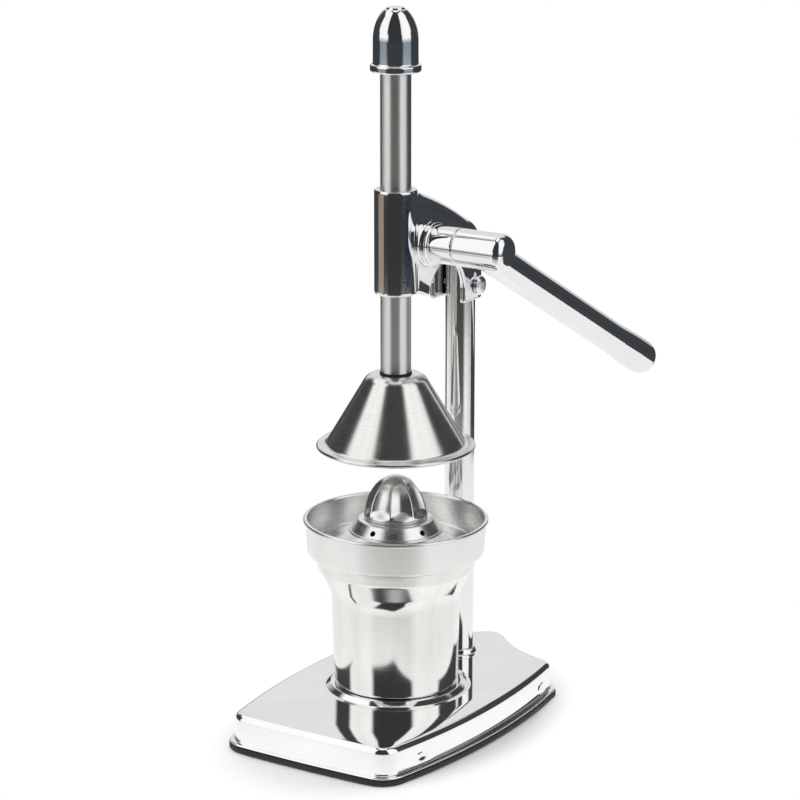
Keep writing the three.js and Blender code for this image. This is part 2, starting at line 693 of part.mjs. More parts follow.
function buildRod() {
  const group = groupAt(press, 0, 0, 0);
  const stem = turned([
    point(0, rodBottom), point(rodRadius - rodChamfer, rodBottom), point(rodRadius, rodBottom + rodChamfer),
    point(rodRadius, rodTop - rodChamfer), point(rodRadius - rodChamfer, rodTop), point(0, rodTop),
  ], bigSides);
  const screwHole = rod(bellScrewRadius + fitGap, rodBottom - overrun, rodBottom + bellScrewReach + overrun,
    smallSides);
  const studBottom = rodTop - studLength / 2;
  const studHole = rod(studRadius + fitGap, studBottom - overrun, rodTop + overrun, smallSides);
  fit(group, "rack_rod", "satin", carve(stem, [], [rackCut(), screwHole, studHole]));

  const capTop = capFlangeBottom + capHeight;
  const shoulder = capFlangeBottom + capShoulderRise;
  const roof = capTop - capButtonHeight;
  const dome = between(capDomeShares, point(capBodyRadius, shoulder), point(capRoofRadius, roof));
  const capBore = rodRadius + fitGap;
  const capCeiling = rodTop + seatGap;
  const studTop = studBottom + studLength;
  fit(group, "rod_cap", "chrome", turned([
    point(capBore, capFlangeBottom), point(capFlangeRadius - rodChamfer, capFlangeBottom),
    point(capFlangeRadius, capFlangeBottom + rodChamfer), point(capFlangeRadius, capFlangeBottom + capFlangeHeight),
    point(capFootRadius, capFlangeBottom + capFlangeHeight + rodChamfer), ...dome,
    point(capRoofRadius - rodChamfer, roof), point(capButtonRadius, roof), point(capButtonRadius, capTop - rodChamfer),
    point(capButtonRadius - rodChamfer, capTop), point(0, capTop), point(0, studTop + overrun),
    point(studRadius + fitGap, studTop + overrun), point(studRadius + fitGap, capCeiling), point(capBore, capCeiling),
  ], roundSides));
  fit(group, "cap_stud", "steel", rod(studRadius, studBottom, studTop, smallSides));

  fit(group, "bell_gasket", "rubber",
    tube(gasketRadius, bellScrewRadius + fitGap, bellTop + seatGap, bellTop + seatGap + gasketWall, roundSides));
  fit(group, "bell", "brushed", turned(bellProfile(), bigSides));
  const washerTop = bellTop - bellWall - seatGap;
  fit(group, "bell_washer", "steel",
    tube(bellWasherRadius, bellScrewRadius + fitGap, washerTop - bellWasherWall, washerTop, smallSides));
  const headTop = washerTop - bellWasherWall - seatGap;
  fit(group, "bell_screw", "steel", carve(
    hexagon(bellScrewFlats, headTop - bellScrewHead, headTop),
    [rod(bellScrewRadius, headTop - bellScrewHead / 2, rodBottom + bellScrewReach, smallSides)], []));
}

// Cup with a flared shoulder and a rolled rim
function buildCup() {
  const group = groupAt(press, 0, 0, baseHeight + platformHeight + seatGap);
  const foot = arc(cupFootRadius, cupFootRounding, cupFootRounding, -Math.PI / 2, 0, cornerSteps);
  const rimFrom = cupHeight - cupRimHeight;
  const flare = (inset) => between(cupFlareShares, point(cupWallTopRadius - inset, cupWallHeight),
    point(cupFlareRadius - inset, cupFlareHeight));
  const rim = [...cupRimOuterShares, ...cupRimInnerShares].map(([inward, up]) => point(
    cupRimRadius - cupRimHeight * inward, rimFrom + cupRimHeight * up));
  fit(group, "juice_cup", "polished", turned([
    point(0, 0), ...foot, point(cupWallTopRadius, cupWallHeight), ...flare(0),
    point(cupFlareRadius, cupFlareHeight), point(cupFlareRadius + cupWall, rimFrom), ...rim,
    point(cupFlareRadius - cupWall, rimFrom), point(cupFlareRadius - cupWall, cupFlareHeight),
    ...flare(cupWall).reverse(), point(cupWallTopRadius - cupWall, cupWallHeight),
    point(cupFootRadius + cupFootRounding - cupWall, cupFootRounding + cupWall),
    point(cupFootRadius, cupWall), point(0, cupWall),
  ], bigSides));
}

// Strainer bowl: wall, trough, sloping floor and the collar with its drain holes
function buildStrainer() {
  const group = groupAt(press, 0, 0, baseHeight + platformHeight + seatGap + cupHeight);
  const trough = -strainerTrough;
  const rimTop = trough + strainerHeight;
  const footArc = arc(strainerFootRadius - strainerFootRounding, trough + strainerFootRounding, strainerFootRounding,
    0, -Math.PI / 2, cornerSteps);
  const floorRadius = cupRimRadius + fitGap + strainerWall;
  const seatRadius = cupRimRadius - cupRimHeight / 2;
  const floorAt = (radius) => strainerFloor + strainerSlope * (floorRadius - radius);
  const collarFoot = floorAt(collarFootRadius);
  const bandFoot = collarFoot + collarStep;
  const bandTop = collarFoot + collarHeight;
  const band = [
    point(collarFootRadius, collarFoot), point(collarFootRadius - strainerWall / 2, bandFoot),
    point(collarBandRadius, bandFoot), point(collarTopRadius + collarShoulder, bandTop - collarShoulder / 4),
    point(collarTopRadius, bandTop), point(collarMouthRadius, bandTop),
  ];
  const lower = (p) => point(p.x - strainerWall / Math.SQRT2, p.y - strainerWall);
  const outerSeat = cupRimRadius + fitGap;
  const ledge = seatRadius - strainerWall / 2;
  const bead = strainerBeadShares.map(([inward, down]) => point(
    strainerRimRadius - strainerRimBead * inward, rimTop - strainerRimBead * down));
  const profile = [
    point(strainerWallRadius, rimTop - 2 * strainerRimBead), ...footArc, point(outerSeat, trough),
    point(outerSeat, seatGap), point(seatRadius, seatGap), point(ledge, floorAt(ledge) - strainerWall),
    lower(band[0]), lower(band[1]), lower(band[2]), lower(band[3]), lower(band[4]),
    point(collarMouthRadius, bandTop - strainerWall), point(collarMouthRadius, bandTop),
    ...band.slice(0, -1).reverse(),
    point(floorRadius, strainerFloor),
    point(strainerFootRadius - strainerWall, trough + strainerFootRounding + strainerWall),
    point(strainerWallRadius - strainerWall, rimTop - strainerRimBead),
    point(strainerWallRadius - strainerWall, rimTop - strainerRimBead / 2),
    point(strainerWallRadius, rimTop), ...bead,
  ];
  const lean = Math.atan2(bandTop - bandFoot, collarBandRadius - collarTopRadius - collarShoulder);
  const holes = Array.from({ length: collarHoles }, (_, i) => {
    const hole = rod(collarHoleRadius, -3 * strainerWall, 3 * strainerWall, smallSides / 2);
    const middle = collarBandRadius - collarHoleRise / Math.tan(lean);
    return hole.rotateY(lean).translate(middle, 0, bandFoot + collarHoleRise)
      .rotateZ((2 * Math.PI * i) / collarHoles + collarHoleTurn);
  });
  fit(group, "strainer_bowl", "brushed", carve(turned(profile, bigSides), [], holes));

  // Reamer: a ribbed dome that stands on the collar
  const reamer = groupAt(group, 0, 0, bandTop + seatGap);
  const level = (share, inset) => Array.from({ length: bigSides }, (_, i) => {
    const turn = (2 * Math.PI * i) / bigSides;
    const rise = share * (reamerHeight - reamerRimHeight);
    const full = Math.sqrt(Math.max(0, 1 - share ** reamerBulge));
    const rib = share === 0 ? 0 : reamerRibShare * (Math.abs(Math.cos((reamerRibs * turn) / 2)) - 1 / 2);
    const radius = (reamerRadius - inset) * (reamerTipShare + (1 - reamerTipShare) * full) * (1 + rib);
    return new THREE.Vector3(radius * Math.cos(turn), radius * Math.sin(turn), reamerRimHeight + rise - inset);
  });
  const flat = (radius, z) => Array.from({ length: bigSides }, (_, i) => new THREE.Vector3(
    radius * Math.cos((2 * Math.PI * i) / bigSides), radius * Math.sin((2 * Math.PI * i) / bigSides), z));
  const outside = skin([flat(reamerRadius, 0), ...reamerLevelShares.map((share) => level(share, 0))]);
  const inside = skin([flat(reamerRadius - reamerWall, -overrun),
    ...reamerLevelShares.slice(0, -1).map((share) => level(share, reamerWall))]);
  fit(reamer, "reamer_cone", "brushed", carve(outside, [], [inside]));
}

buildBase();
buildColumn();
buildHead();
buildLever();
buildRod();
buildCup();
buildStrainer();

export default press;
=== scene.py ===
import math

import bmesh
import bpy
import numpy as np
from mathutils import Matrix, Vector


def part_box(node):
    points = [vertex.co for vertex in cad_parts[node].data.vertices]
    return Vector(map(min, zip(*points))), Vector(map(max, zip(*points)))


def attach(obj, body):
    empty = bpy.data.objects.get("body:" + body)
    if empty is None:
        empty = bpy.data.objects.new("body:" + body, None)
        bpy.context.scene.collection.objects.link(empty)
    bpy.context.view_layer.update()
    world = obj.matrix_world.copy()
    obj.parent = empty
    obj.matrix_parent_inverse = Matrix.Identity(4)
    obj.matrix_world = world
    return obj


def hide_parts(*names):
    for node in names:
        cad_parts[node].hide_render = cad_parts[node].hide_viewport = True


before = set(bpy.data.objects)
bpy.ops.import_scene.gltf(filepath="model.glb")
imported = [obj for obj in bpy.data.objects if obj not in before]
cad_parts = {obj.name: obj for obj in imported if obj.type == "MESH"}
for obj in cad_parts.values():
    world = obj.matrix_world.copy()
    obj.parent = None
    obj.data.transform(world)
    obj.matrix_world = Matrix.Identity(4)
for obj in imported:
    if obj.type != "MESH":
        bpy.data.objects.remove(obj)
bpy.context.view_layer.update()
scene = bpy.context.scene
mm = 0.001
print("frame loaded")


# View: the place and lens that the photograph was taken from
view = {
    "azimuth": 33.0,      # degrees to the lever side of the front
    "down": 15.3,         # degrees below the horizon
    "reach": 1914.0,      # level distance from the press axis
    "side": 2.6,          # shift to the right
    "height": 734.5,      # above the table
    "lens": 144.0,
}
viewTurn = math.radians(view["azimuth"])
viewRight = Vector((math.cos(viewTurn), math.sin(viewTurn), 0))
viewFront = Vector((math.sin(viewTurn), -math.cos(viewTurn), 0))


def makeCamera():
    data = bpy.data.cameras.new("camera")
    data.lens = view["lens"]
    data.clip_start = 0.05
    data.clip_end = 50
    camera = bpy.data.objects.new("camera", data)
    scene.collection.objects.link(camera)
    place = viewFront * view["reach"] + viewRight * view["side"] + Vector((0, 0, view["height"]))
    camera.location = place * mm
    camera.rotation_euler = (math.radians(90 - view["down"]), 0, viewTurn)
    scene.camera = camera


def circle(sides):
    return [(math.cos(2 * math.pi * i / sides), math.sin(2 * math.pi * i / sides)) for i in range(sides)]


# Node helpers. A socket gets either another node's output or a value
def newMaterial(name):
    material = bpy.data.materials.new(name)
    material.use_nodes = True
    nodes = material.node_tree.nodes
    shader = nodes["Principled BSDF"]
    return material, nodes, material.node_tree.links, shader


def setSockets(links, node, sockets):
    for socket, value in sockets.items():
        if isinstance(value, bpy.types.NodeSocket):
            links.new(value, node.inputs[socket])
        elif value is not None:
            node.inputs[socket].default_value = value


def addNode(nodes, links, kind, sockets, operation=None):
    node = nodes.new("ShaderNode" + kind)
    if operation:
        node.operation = operation
    setSockets(links, node, sockets)
    return node


def placeNode(nodes):
    return nodes.new("ShaderNodeTexCoord").outputs["Object"]


def noiseNode(nodes, links, coordinates, scale, detail=3.0, roughness=0.5, stretch=(1, 1, 1)):
    mapping = addNode(nodes, links, "Mapping", {"Scale": stretch, "Vector": coordinates})
    sockets = {"Scale": scale, "Detail": detail, "Roughness": roughness, "Vector": mapping.outputs["Vector"]}
    return addNode(nodes, links, "TexNoise", sockets).outputs["Fac"]


def rangeNode(nodes, links, value, low, high, start=0.3, end=0.7):
    sockets = {"From Min": start, "From Max": end, "To Min": low, "To Max": high, "Value": value}
    return addNode(nodes, links, "MapRange", sockets).outputs["Result"]


def bumpNode(nodes, links, height, strength, distance, before=None):
    sockets = {"Strength": strength, "Distance": distance, "Height": height, "Normal": before}
    return addNode(nodes, links, "Bump", sockets).outputs["Normal"]


def rampNode(nodes, links, value, stops):
    ramp = addNode(nodes, links, "ValToRGB", {"Fac": value})
    points = ramp.color_ramp.elements
    while len(points) < len(stops):
        points.new(0.5)
    for point, (place, tone) in zip(points, stops):
        point.position = place
        point.color = (*tone, 1)
    return ramp.outputs["Color"]


def tintNode(nodes, links, value, first, second, start=0.35, end=0.65):
    return rampNode(nodes, links, value, [(start, first), (end, second)])


def mathNode(nodes, links, operation, first, second=None, third=None):
    return addNode(nodes, links, "Math", {0: first, 1: second, 2: third}, operation).outputs["Value"]


def vectorNode(nodes, links, operation, first, second=None):
    return addNode(nodes, links, "VectorMath", {0: first, 1: second}, operation).outputs["Value"]


def mixNode(nodes, links, amount, first, second):
    one, two = [(*tone, 1) if isinstance(tone, tuple) else tone for tone in (first, second)]
    return addNode(nodes, links, "MixRGB", {"Fac": amount, "Color1": one, "Color2": two}).outputs["Color"]


# Set: a round pale table in white surroundings
setSizes = {
    "tableRadius": 0.62, "tableSides": 128, "tableTone": 0.9, "fill": 0.72,
    # Painted reflection tones: the glow that the metal sees in the table near the base and further out, and
    # the tone of its painted dark sector
    "tableNear": (1.04, 1.04, 1.04), "tableSeen": (0.93, 0.925, 0.915), "paintedDarkTone": (0.2, 0.195, 0.18),
    "shadeReach": (0.075, 0.115),     # metres, half the shade's ellipse each way
    "shadeFade": (1.06, 1.3),         # counted in that ellipse
    "seenFade": (1.2, 2.2),           # counted in that ellipse
    "paintedDarkFade": (0.1, 0.66),         # metres towards the camera
    "paintedDarkLeft": (-52, -36),          # degrees
    "paintedDarkRight": (22, 38),           # degrees
}


def tableDisc():
    radius = setSizes["tableRadius"]
    ring = [(radius * along, radius * across, 0) for along, across in circle(setSizes["tableSides"])]
    mesh = bpy.data.meshes.new("table")
    mesh.from_pydata(ring, [], [tuple(range(len(ring)))])
    table = bpy.data.objects.new("table", mesh)
    scene.collection.objects.link(table)
    return table


# Painted dark reflection: a darker sector of the table towards the camera, which only the metal sees
def paintedDarkReflection(nodes, links, place):
    ahead = vectorNode(nodes, links, "DOT_PRODUCT", place, viewFront)
    turn = mathNode(nodes, links, "ARCTAN2", vectorNode(nodes, links, "DOT_PRODUCT", place, viewRight), ahead)
    left = rangeNode(nodes, links, turn, 0, 1, *[math.radians(side) for side in setSizes["paintedDarkLeft"]])
    right = rangeNode(nodes, links, turn, 1, 0, *[math.radians(side) for side in setSizes["paintedDarkRight"]])
    reach = rangeNode(nodes, links, ahead, 0, 1, *setSizes["paintedDarkFade"])
    return mathNode(nodes, links, "MULTIPLY", reach, mathNode(nodes, links, "MULTIPLY", left, right))


def makeTable():
    table = tableDisc()
    material, nodes, links, shader = newMaterial("tableTop")
    tone = (setSizes["tableTone"],) * 3 + (1,)
    setSockets(links, shader, {"Base Color": tone, "Roughness": 0.9, "Specular IOR Level": 0.1})
    place = placeNode(nodes)
    shrink = (*[1 / reach for reach in setSizes["shadeReach"]], 1)
    mapping = addNode(nodes, links, "Mapping", {"Scale": shrink, "Vector": place})
    reach = vectorNode(nodes, links, "LENGTH", mapping.outputs["Vector"])
    path = nodes.new("ShaderNodeLightPath")
    fade = rangeNode(nodes, links, reach, 0, 1, *setSizes["shadeFade"])
    clear = mathNode(nodes, links, "MULTIPLY", path.outputs["Is Camera Ray"], fade)
    clear = mathNode(nodes, links, "MAXIMUM", clear, path.outputs["Is Glossy Ray"])
    # Painted reflection: to the metal the table glows, brighter near the base and greyer further out, and
    # darker in a sector towards the camera. The camera sees plain white beyond the shade
    far = rangeNode(nodes, links, reach, 0, 1, *setSizes["seenFade"])
    seen = tintNode(nodes, links, far, setSizes["tableNear"], setSizes["tableSeen"], 0, 1)
    seen = mixNode(nodes, links, paintedDarkReflection(nodes, links, place), seen, setSizes["paintedDarkTone"])
    seen = mixNode(nodes, links, path.outputs["Is Camera Ray"], seen, (1, 1, 1))
    glow = addNode(nodes, links, "Emission", {"Color": seen}).outputs["Emission"]
    mix = addNode(nodes, links, "MixShader", {"Fac": clear, 1: shader.outputs["BSDF"], 2: glow})
    links.new(mix.outputs["Shader"], nodes["Material Output"].inputs["Surface"])
    table.data.materials.append(material)


lamps = {
    "lampTop": {"place": (-0.2, 0.1, 1.7), "aim": (0, 0, 0.1), "size": 1.6, "power": 9},
    "lampLeft": {"place": (-1.5, -0.9, 1.0), "aim": (0, 0, 0.2), "size": 1.2, "power": 6},
}


def makeLamps():
    for name, lamp in lamps.items():
        data = bpy.data.lights.new(name, "AREA")
        data.shape = "DISK"
        data.size = lamp["size"]
        data.energy = lamp["power"]
        piece = bpy.data.objects.new(name, data)
        scene.collection.objects.link(piece)
        piece.location = lamp["place"]
        aim = Vector(lamp["aim"]) - Vector(lamp["place"])
        piece.rotation_euler = aim.to_track_quat("-Z", "Y").to_euler()
        piece.visible_glossy = False


# Surroundings that the metal sees, level over level: tones by azimuth, from the camera to the right
dark, deep, white = (0.038, 0.038, 0.039), (0.05, 0.053, 0.058), (1.08, 1.08, 1.07)
tan, blue, grey = (0.34, 0.26, 0.2), (0.016, 0.025, 0.046), (0.8, 0.81, 0.82)
sky, soot, olive = (0.27, 0.32, 0.36), (0.042, 0.049, 0.052), (0.1, 0.098, 0.09)
cream, brown, pale = (0.86, 0.83, 0.78), (0.3, 0.22, 0.16), (0.74, 0.74, 0.77)
surroundings = {
    "ground": [(-180, pale), (-150, pale), (-146, deep), (-126, deep), (-121, white), (-78, cream),
               (-70, brown), (-64, cream), (-52, white), (-40, olive), (22, olive), (40, white), (84, pale),
               (91, pale), (94, deep), (169, deep), (173, pale), (180, pale)],
    "low": [(-180, pale), (-173, pale), (-169, deep), (-106, deep), (-101, tan), (-69, tan), (-65, dark),
            (46, dark), (58, blue), (80, blue), (90, deep), (169, deep), (173, pale), (180, pale)],
    "belt": [(-180, pale), (-173, pale), (-169, soot), (-90, soot), (-80, sky), (-50, sky), (-42, soot),
             (34, soot), (42, sky), (78, sky), (87, soot), (169, soot), (173, pale), (180, pale)],
    "middle": [(-180, pale), (-173, pale), (-169, deep), (-93, deep), (-86, white), (-42, white), (-35, dark),
               (30, dark), (37, white), (80, white), (86, deep), (150, deep), (158, pale), (180, pale)],
    "high": [(-180, grey), (-158, grey), (-140, deep), (-98, deep), (-92, white), (-47, white), (-41, dark),
             (28, dark), (34, white), (84, white), (90, deep), (148, deep), (156, grey), (180, grey)],
    "upper": [(-180, grey), (-160, grey), (-150, white), (-47, white), (-41, dark), (28, dark), (34, white),
              (90, white), (95, deep), (126, deep), (131, grey), (180, grey)],
    "ring": [(-180, grey), (-150, grey), (-140, deep), (140, deep), (150, grey), (180, grey)],
    "zenith": [(-180, white), (180, white)],
}
# Each level takes over from the one below it between these two heights, in degrees over the horizon
levelEdges = {"low": (-13.9, -13.4), "belt": (-11.6, -11.1), "middle": (-8.5, 0.5), "high": (6.0, 10.0),
              "upper": (37.0, 43.0), "ring": (67.0, 68.5), "zenith": (74.0, 77.0)}


def toneRamp(nodes, links, turn, stops):
    return rampNode(nodes, links, turn, [((azimuth + 180) / 360, tone) for azimuth, tone in stops])


def makeWorld():
    world = bpy.data.worlds.new("world")
    scene.world = world
    world.use_nodes = True
    nodes = world.node_tree.nodes
    links = world.node_tree.links
    direction = nodes.new("ShaderNodeTexCoord").outputs["Generated"]
    right, front, up = [vectorNode(nodes, links, "DOT_PRODUCT", direction, axis)
                        for axis in (viewRight, viewFront, (0, 0, 1))]
    turn = mathNode(nodes, links, "ARCTAN2", right, front)
    turn = rangeNode(nodes, links, turn, 0, 1, -math.pi, math.pi)
    lift = mathNode(nodes, links, "ARCSINE", up)
    tone = toneRamp(nodes, links, turn, surroundings["ground"])
    for level, (start, end) in levelEdges.items():
        amount = rangeNode(nodes, links, lift, 0, 1, math.radians(start), math.radians(end))
        tone = mixNode(nodes, links, amount, tone, toneRamp(nodes, links, turn, surroundings[level]))
    path = nodes.new("ShaderNodeLightPath")
    seen = mixNode(nodes, links, path.outputs["Is Glossy Ray"], (1, 1, 1), tone)
    clear = mathNode(nodes, links, "MAXIMUM", path.outputs["Is Camera Ray"], path.outputs["Is Glossy Ray"])
    clear = mathNode(nodes, links, "MAXIMUM", clear, path.outputs["Is Transmission Ray"])
    strength = rangeNode(nodes, links, clear, setSizes["fill"], 1, 0, 1)
    setSockets(links, nodes["Background"], {"Color": seen, "Strength": strength})


makeCamera()
makeWorld()
makeTable()
makeLamps()
scene.view_settings.view_transform = "Standard"
print("camera, table and lights placed")


# Finishes
def chromeFinish(name, wave, blur=(0.03, 0.06), first=(0.86, 0.87, 0.885), second=(0.9, 0.905, 0.91)):
    material, nodes, links, shader = newMaterial(name)
    place = placeNode(nodes)
    cloud = noiseNode(nodes, links, place, 30)
    grain = noiseNode(nodes, links, place, 700, 2)
    slow = bumpNode(nodes, links, noiseNode(nodes, links, place, 22, 1), wave, 0.0004)
    setSockets(links, shader, {
        "Metallic": 1.0,
        "Base Color": tintNode(nodes, links, cloud, first, second),
        "Roughness": rangeNode(nodes, links, grain, *blur),
        "Normal": bumpNode(nodes, links, grain, 0.03, 0.00003, slow),
    })
    return material


# Spun sheet: fine lines and soft bands that run round the upright axis
def sheetFinish(name, first, second, blur, lines, turned=0.6):
    material, nodes, links, shader = newMaterial(name)
    tangent = nodes.new("ShaderNodeTangent")
    tangent.direction_type = "RADIAL"
    tangent.axis = "Z"
    split = addNode(nodes, links, "SeparateXYZ", {"Vector": placeNode(nodes)}).outputs
    spin = mathNode(nodes, links, "ARCTAN2", split["Y"], split["X"])
    flat = addNode(nodes, links, "CombineXYZ", {"X": split["X"], "Y": split["Y"]}).outputs["Vector"]
    down = mathNode(nodes, links, "ADD", split["Z"], vectorNode(nodes, links, "LENGTH", flat))
    around = addNode(nodes, links, "CombineXYZ", {"X": down, "Y": spin}).outputs["Vector"]
    rings = noiseNode(nodes, links, around, 1, 3, 0.6, (4200, 2.2, 1))
    cloud = noiseNode(nodes, links, around, 1, 2, 0.5, (8, 4, 1))
    mixed = mathNode(nodes, links, "MULTIPLY_ADD", rings, 0.6, rangeNode(nodes, links, cloud, 0.1, 0.3))
    setSockets(links, shader, {
        "Metallic": 1.0, "Anisotropic": turned, "Anisotropic Rotation": 0.25,
        "Tangent": tangent.outputs["Tangent"],
        "Base Color": tintNode(nodes, links, mixed, first, second, 0.3, 0.7),
        "Roughness": rangeNode(nodes, links, rings, *blur),
        "Normal": bumpNode(nodes, links, rings, lines, 0.00003),
    })
    return material


# Grain from two noises: the coarse one tints and blurs, the fine one roughens
def grainFinish(name, first, second, blur, metal=1.0, scales=(260, 1500), relief=(0.2, 0.00005)):
    material, nodes, links, shader = newMaterial(name)
    place = placeNode(nodes)
    cloud = noiseNode(nodes, links, place, scales[0], 4)
    grain = noiseNode(nodes, links, place, scales[1], 3)
    setSockets(links, shader, {
        "Metallic": metal,
        "Base Color": tintNode(nodes, links, cloud, first, second),
        "Roughness": rangeNode(nodes, links, cloud, *blur),
        "Normal": bumpNode(nodes, links, grain, *relief),
    })
    return material


finishes = {
    "chrome": chromeFinish("castChrome", 0.06),
    "screw": chromeFinish("screwChrome", 0.1, (0.2, 0.28)),
    "baseChrome": chromeFinish("pressedChrome", 0.12, (0.04, 0.07), (0.88, 0.885, 0.89), (0.92, 0.925, 0.93)),
    "rod": sheetFinish("rodPlate", (0.68, 0.68, 0.67), (0.92, 0.92, 0.91), (0.3, 0.42), 0.4, 0.88),
    "column": chromeFinish("columnChrome", 0.1, (0.09, 0.13)),
    "bell": sheetFinish("bellSheet", (0.74, 0.73, 0.71), (0.9, 0.89, 0.87), (0.16, 0.26), 0.3, 0.8),
    "bowl": sheetFinish("bowlSheet", (0.86, 0.86, 0.85), (0.95, 0.95, 0.94), (0.24, 0.32), 0.1, 0.5),
    "cup": sheetFinish("cupSheet", (0.78, 0.765, 0.745), (0.93, 0.925, 0.91), (0.08, 0.13), 0.08, 0.4),
    "steel": grainFinish("turnedSteel", (0.42, 0.42, 0.43), (0.6, 0.6, 0.61), (0.25, 0.4)),
    "bronze": grainFinish("bushBronze", (0.4, 0.27, 0.12), (0.52, 0.36, 0.17), (0.3, 0.45)),
    "black": grainFinish("blackSteel", (0.03, 0.03, 0.032), (0.06, 0.06, 0.062), (0.35, 0.5)),
    "rubber": grainFinish("matRubber", (0.008, 0.008, 0.009), (0.016, 0.016, 0.017), (0.55, 0.75), 0.0,
                          (120, 2200), (0.35, 0.00008)),
}
print("finishes made")


# Places that several pieces share, in millimetres like all sizes below
column = {"back": 75.0, "radius": 9.5, "edge": 0.3}
pivot = {"y": 19.0, "z": 308.5}


# Mesh helpers
def newPiece(name, points, faces):
    mesh = bpy.data.meshes.new(name)
    mesh.from_pydata([tuple(c * mm for c in p) for p in points], [], faces)
    mesh.validate()
    piece = bpy.data.objects.new(name, mesh)
    scene.collection.objects.link(piece)
    return piece


def outward(piece):
    work = bmesh.new()
    work.from_mesh(piece.data)
    bmesh.ops.remove_doubles(work, verts=work.verts, dist=0.000002)
    bmesh.ops.recalc_face_normals(work, faces=work.faces)
    work.to_mesh(piece.data)
    work.free()


def dress(piece, finish, body, slot, *nodes, flats=True):
    outward(piece)
    piece.data.shade_smooth()
    piece.data.materials.clear()
    piece.data.materials.append(finishes[finish])
    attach(piece, body)
    if nodes:
        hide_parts(*nodes)
    if flats:
        weighted = piece.modifiers.new("keepFlats", "WEIGHTED_NORMAL")
        weighted.keep_sharp = True
        weighted.weight = 80
    print("made", piece.name)


def applyModifiers(piece):
    graph = bpy.context.evaluated_depsgraph_get()
    mesh = bpy.data.meshes.new_from_object(piece.evaluated_get(graph))
    piece.modifiers.clear()
    piece.data = mesh


def cut(piece, cutter):
    outward(cutter)
    outward(piece)
    change = piece.modifiers.new("cut", "BOOLEAN")
    change.operation = "DIFFERENCE"
    change.solver = "EXACT"
    change.object = cutter
    applyModifiers(piece)
    bpy.data.objects.remove(cutter)


# A profile is a list of radius, height and corner radius
nearlyStraight = math.radians(178)


def softProfile(corners, closed=False, steps=6):
    count = len(corners)
    line = []
    for i, (r, z, soft) in enumerate(corners):
        here = Vector((r, z))
        ends = not closed and i in (0, count - 1)
        if soft <= 0 or ends:
            line.append(here)
            continue
        before = Vector(corners[(i - 1) % count][:2]) - here
        after = Vector(corners[(i + 1) % count][:2]) - here
        angle = before.angle(after)
        if angle > nearlyStraight:
            line.append(here)
            continue
        reach = min(soft / math.tan(angle / 2), 0.49 * before.length, 0.49 * after.length)
        radius = reach * math.tan(angle / 2)
        middle = (before.normalized() + after.normalized()).normalized()
        centre = here + middle * (radius / math.sin(angle / 2))
        start = here + before.normalized() * reach - centre
        end = here + after.normalized() * reach - centre
        turn = math.atan2(start.x * end.y - start.y * end.x, start.dot(end))
        for step in range(steps + 1):
            part = turn * step / steps
            line.append(centre + Vector((start.x * math.cos(part) - start.y * math.sin(part),
                                         start.x * math.sin(part) + start.y * math.cos(part))))
    return line


def turned(name, line, closed=False, sides=160, base=(0, 0, 0), axis="Z"):
    points = []
    rows = []
    for p in line:
        if p.x < 0.0001:
            rows.append([len(points)] * sides)
            points.append((0, 0, p.y))
            continue
        rows.append(list(range(len(points), len(points) + sides)))
        points += [(p.x * along, p.x * across, p.y) for along, across in circle(sides)]
    faces = []
    last = len(rows) if closed else len(rows) - 1
    for i in range(last):
        first, second = rows[i], rows[(i + 1) % len(rows)]
        for j in range(sides):
            k = (j + 1) % sides
            corner = []
            for index in (first[j], first[k], second[k], second[j]):
                if index not in corner:
                    corner.append(index)
            if len(corner) > 2:
                faces.append(tuple(corner))
    if axis == "X":
        points = [(p[2], p[1], -p[0]) for p in points]
    points = [(p[0] + base[0], p[1] + base[1], p[2] + base[2]) for p in points]
    return newPiece(name, points, faces)


def levels(node, axis=2):
    low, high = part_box(node)
    return low[axis] / mm, high[axis] / mm


def roundBar(name, node, radius, edge, sides, base=(0, 0, 0)):
    low, high = levels(node)
    line = softProfile([(0, low, 0), (radius, low, edge), (radius, high, edge), (0, high, 0)])
    return turned(name, line, sides=sides, base=base)


def washerLine(bore, radius, start, end):
    return softProfile([(bore, start, 0.1), (radius, start, 0.3), (radius, end, 0.3), (bore, end, 0.1)], True)


# Surfaces cast from a distance formula, for pieces whose bodies run into each other with fillets
castSettings = {"gridPart": 400000, "passes": 6, "probe": 0.02, "flattest": 0.05, "wander": 0.75}


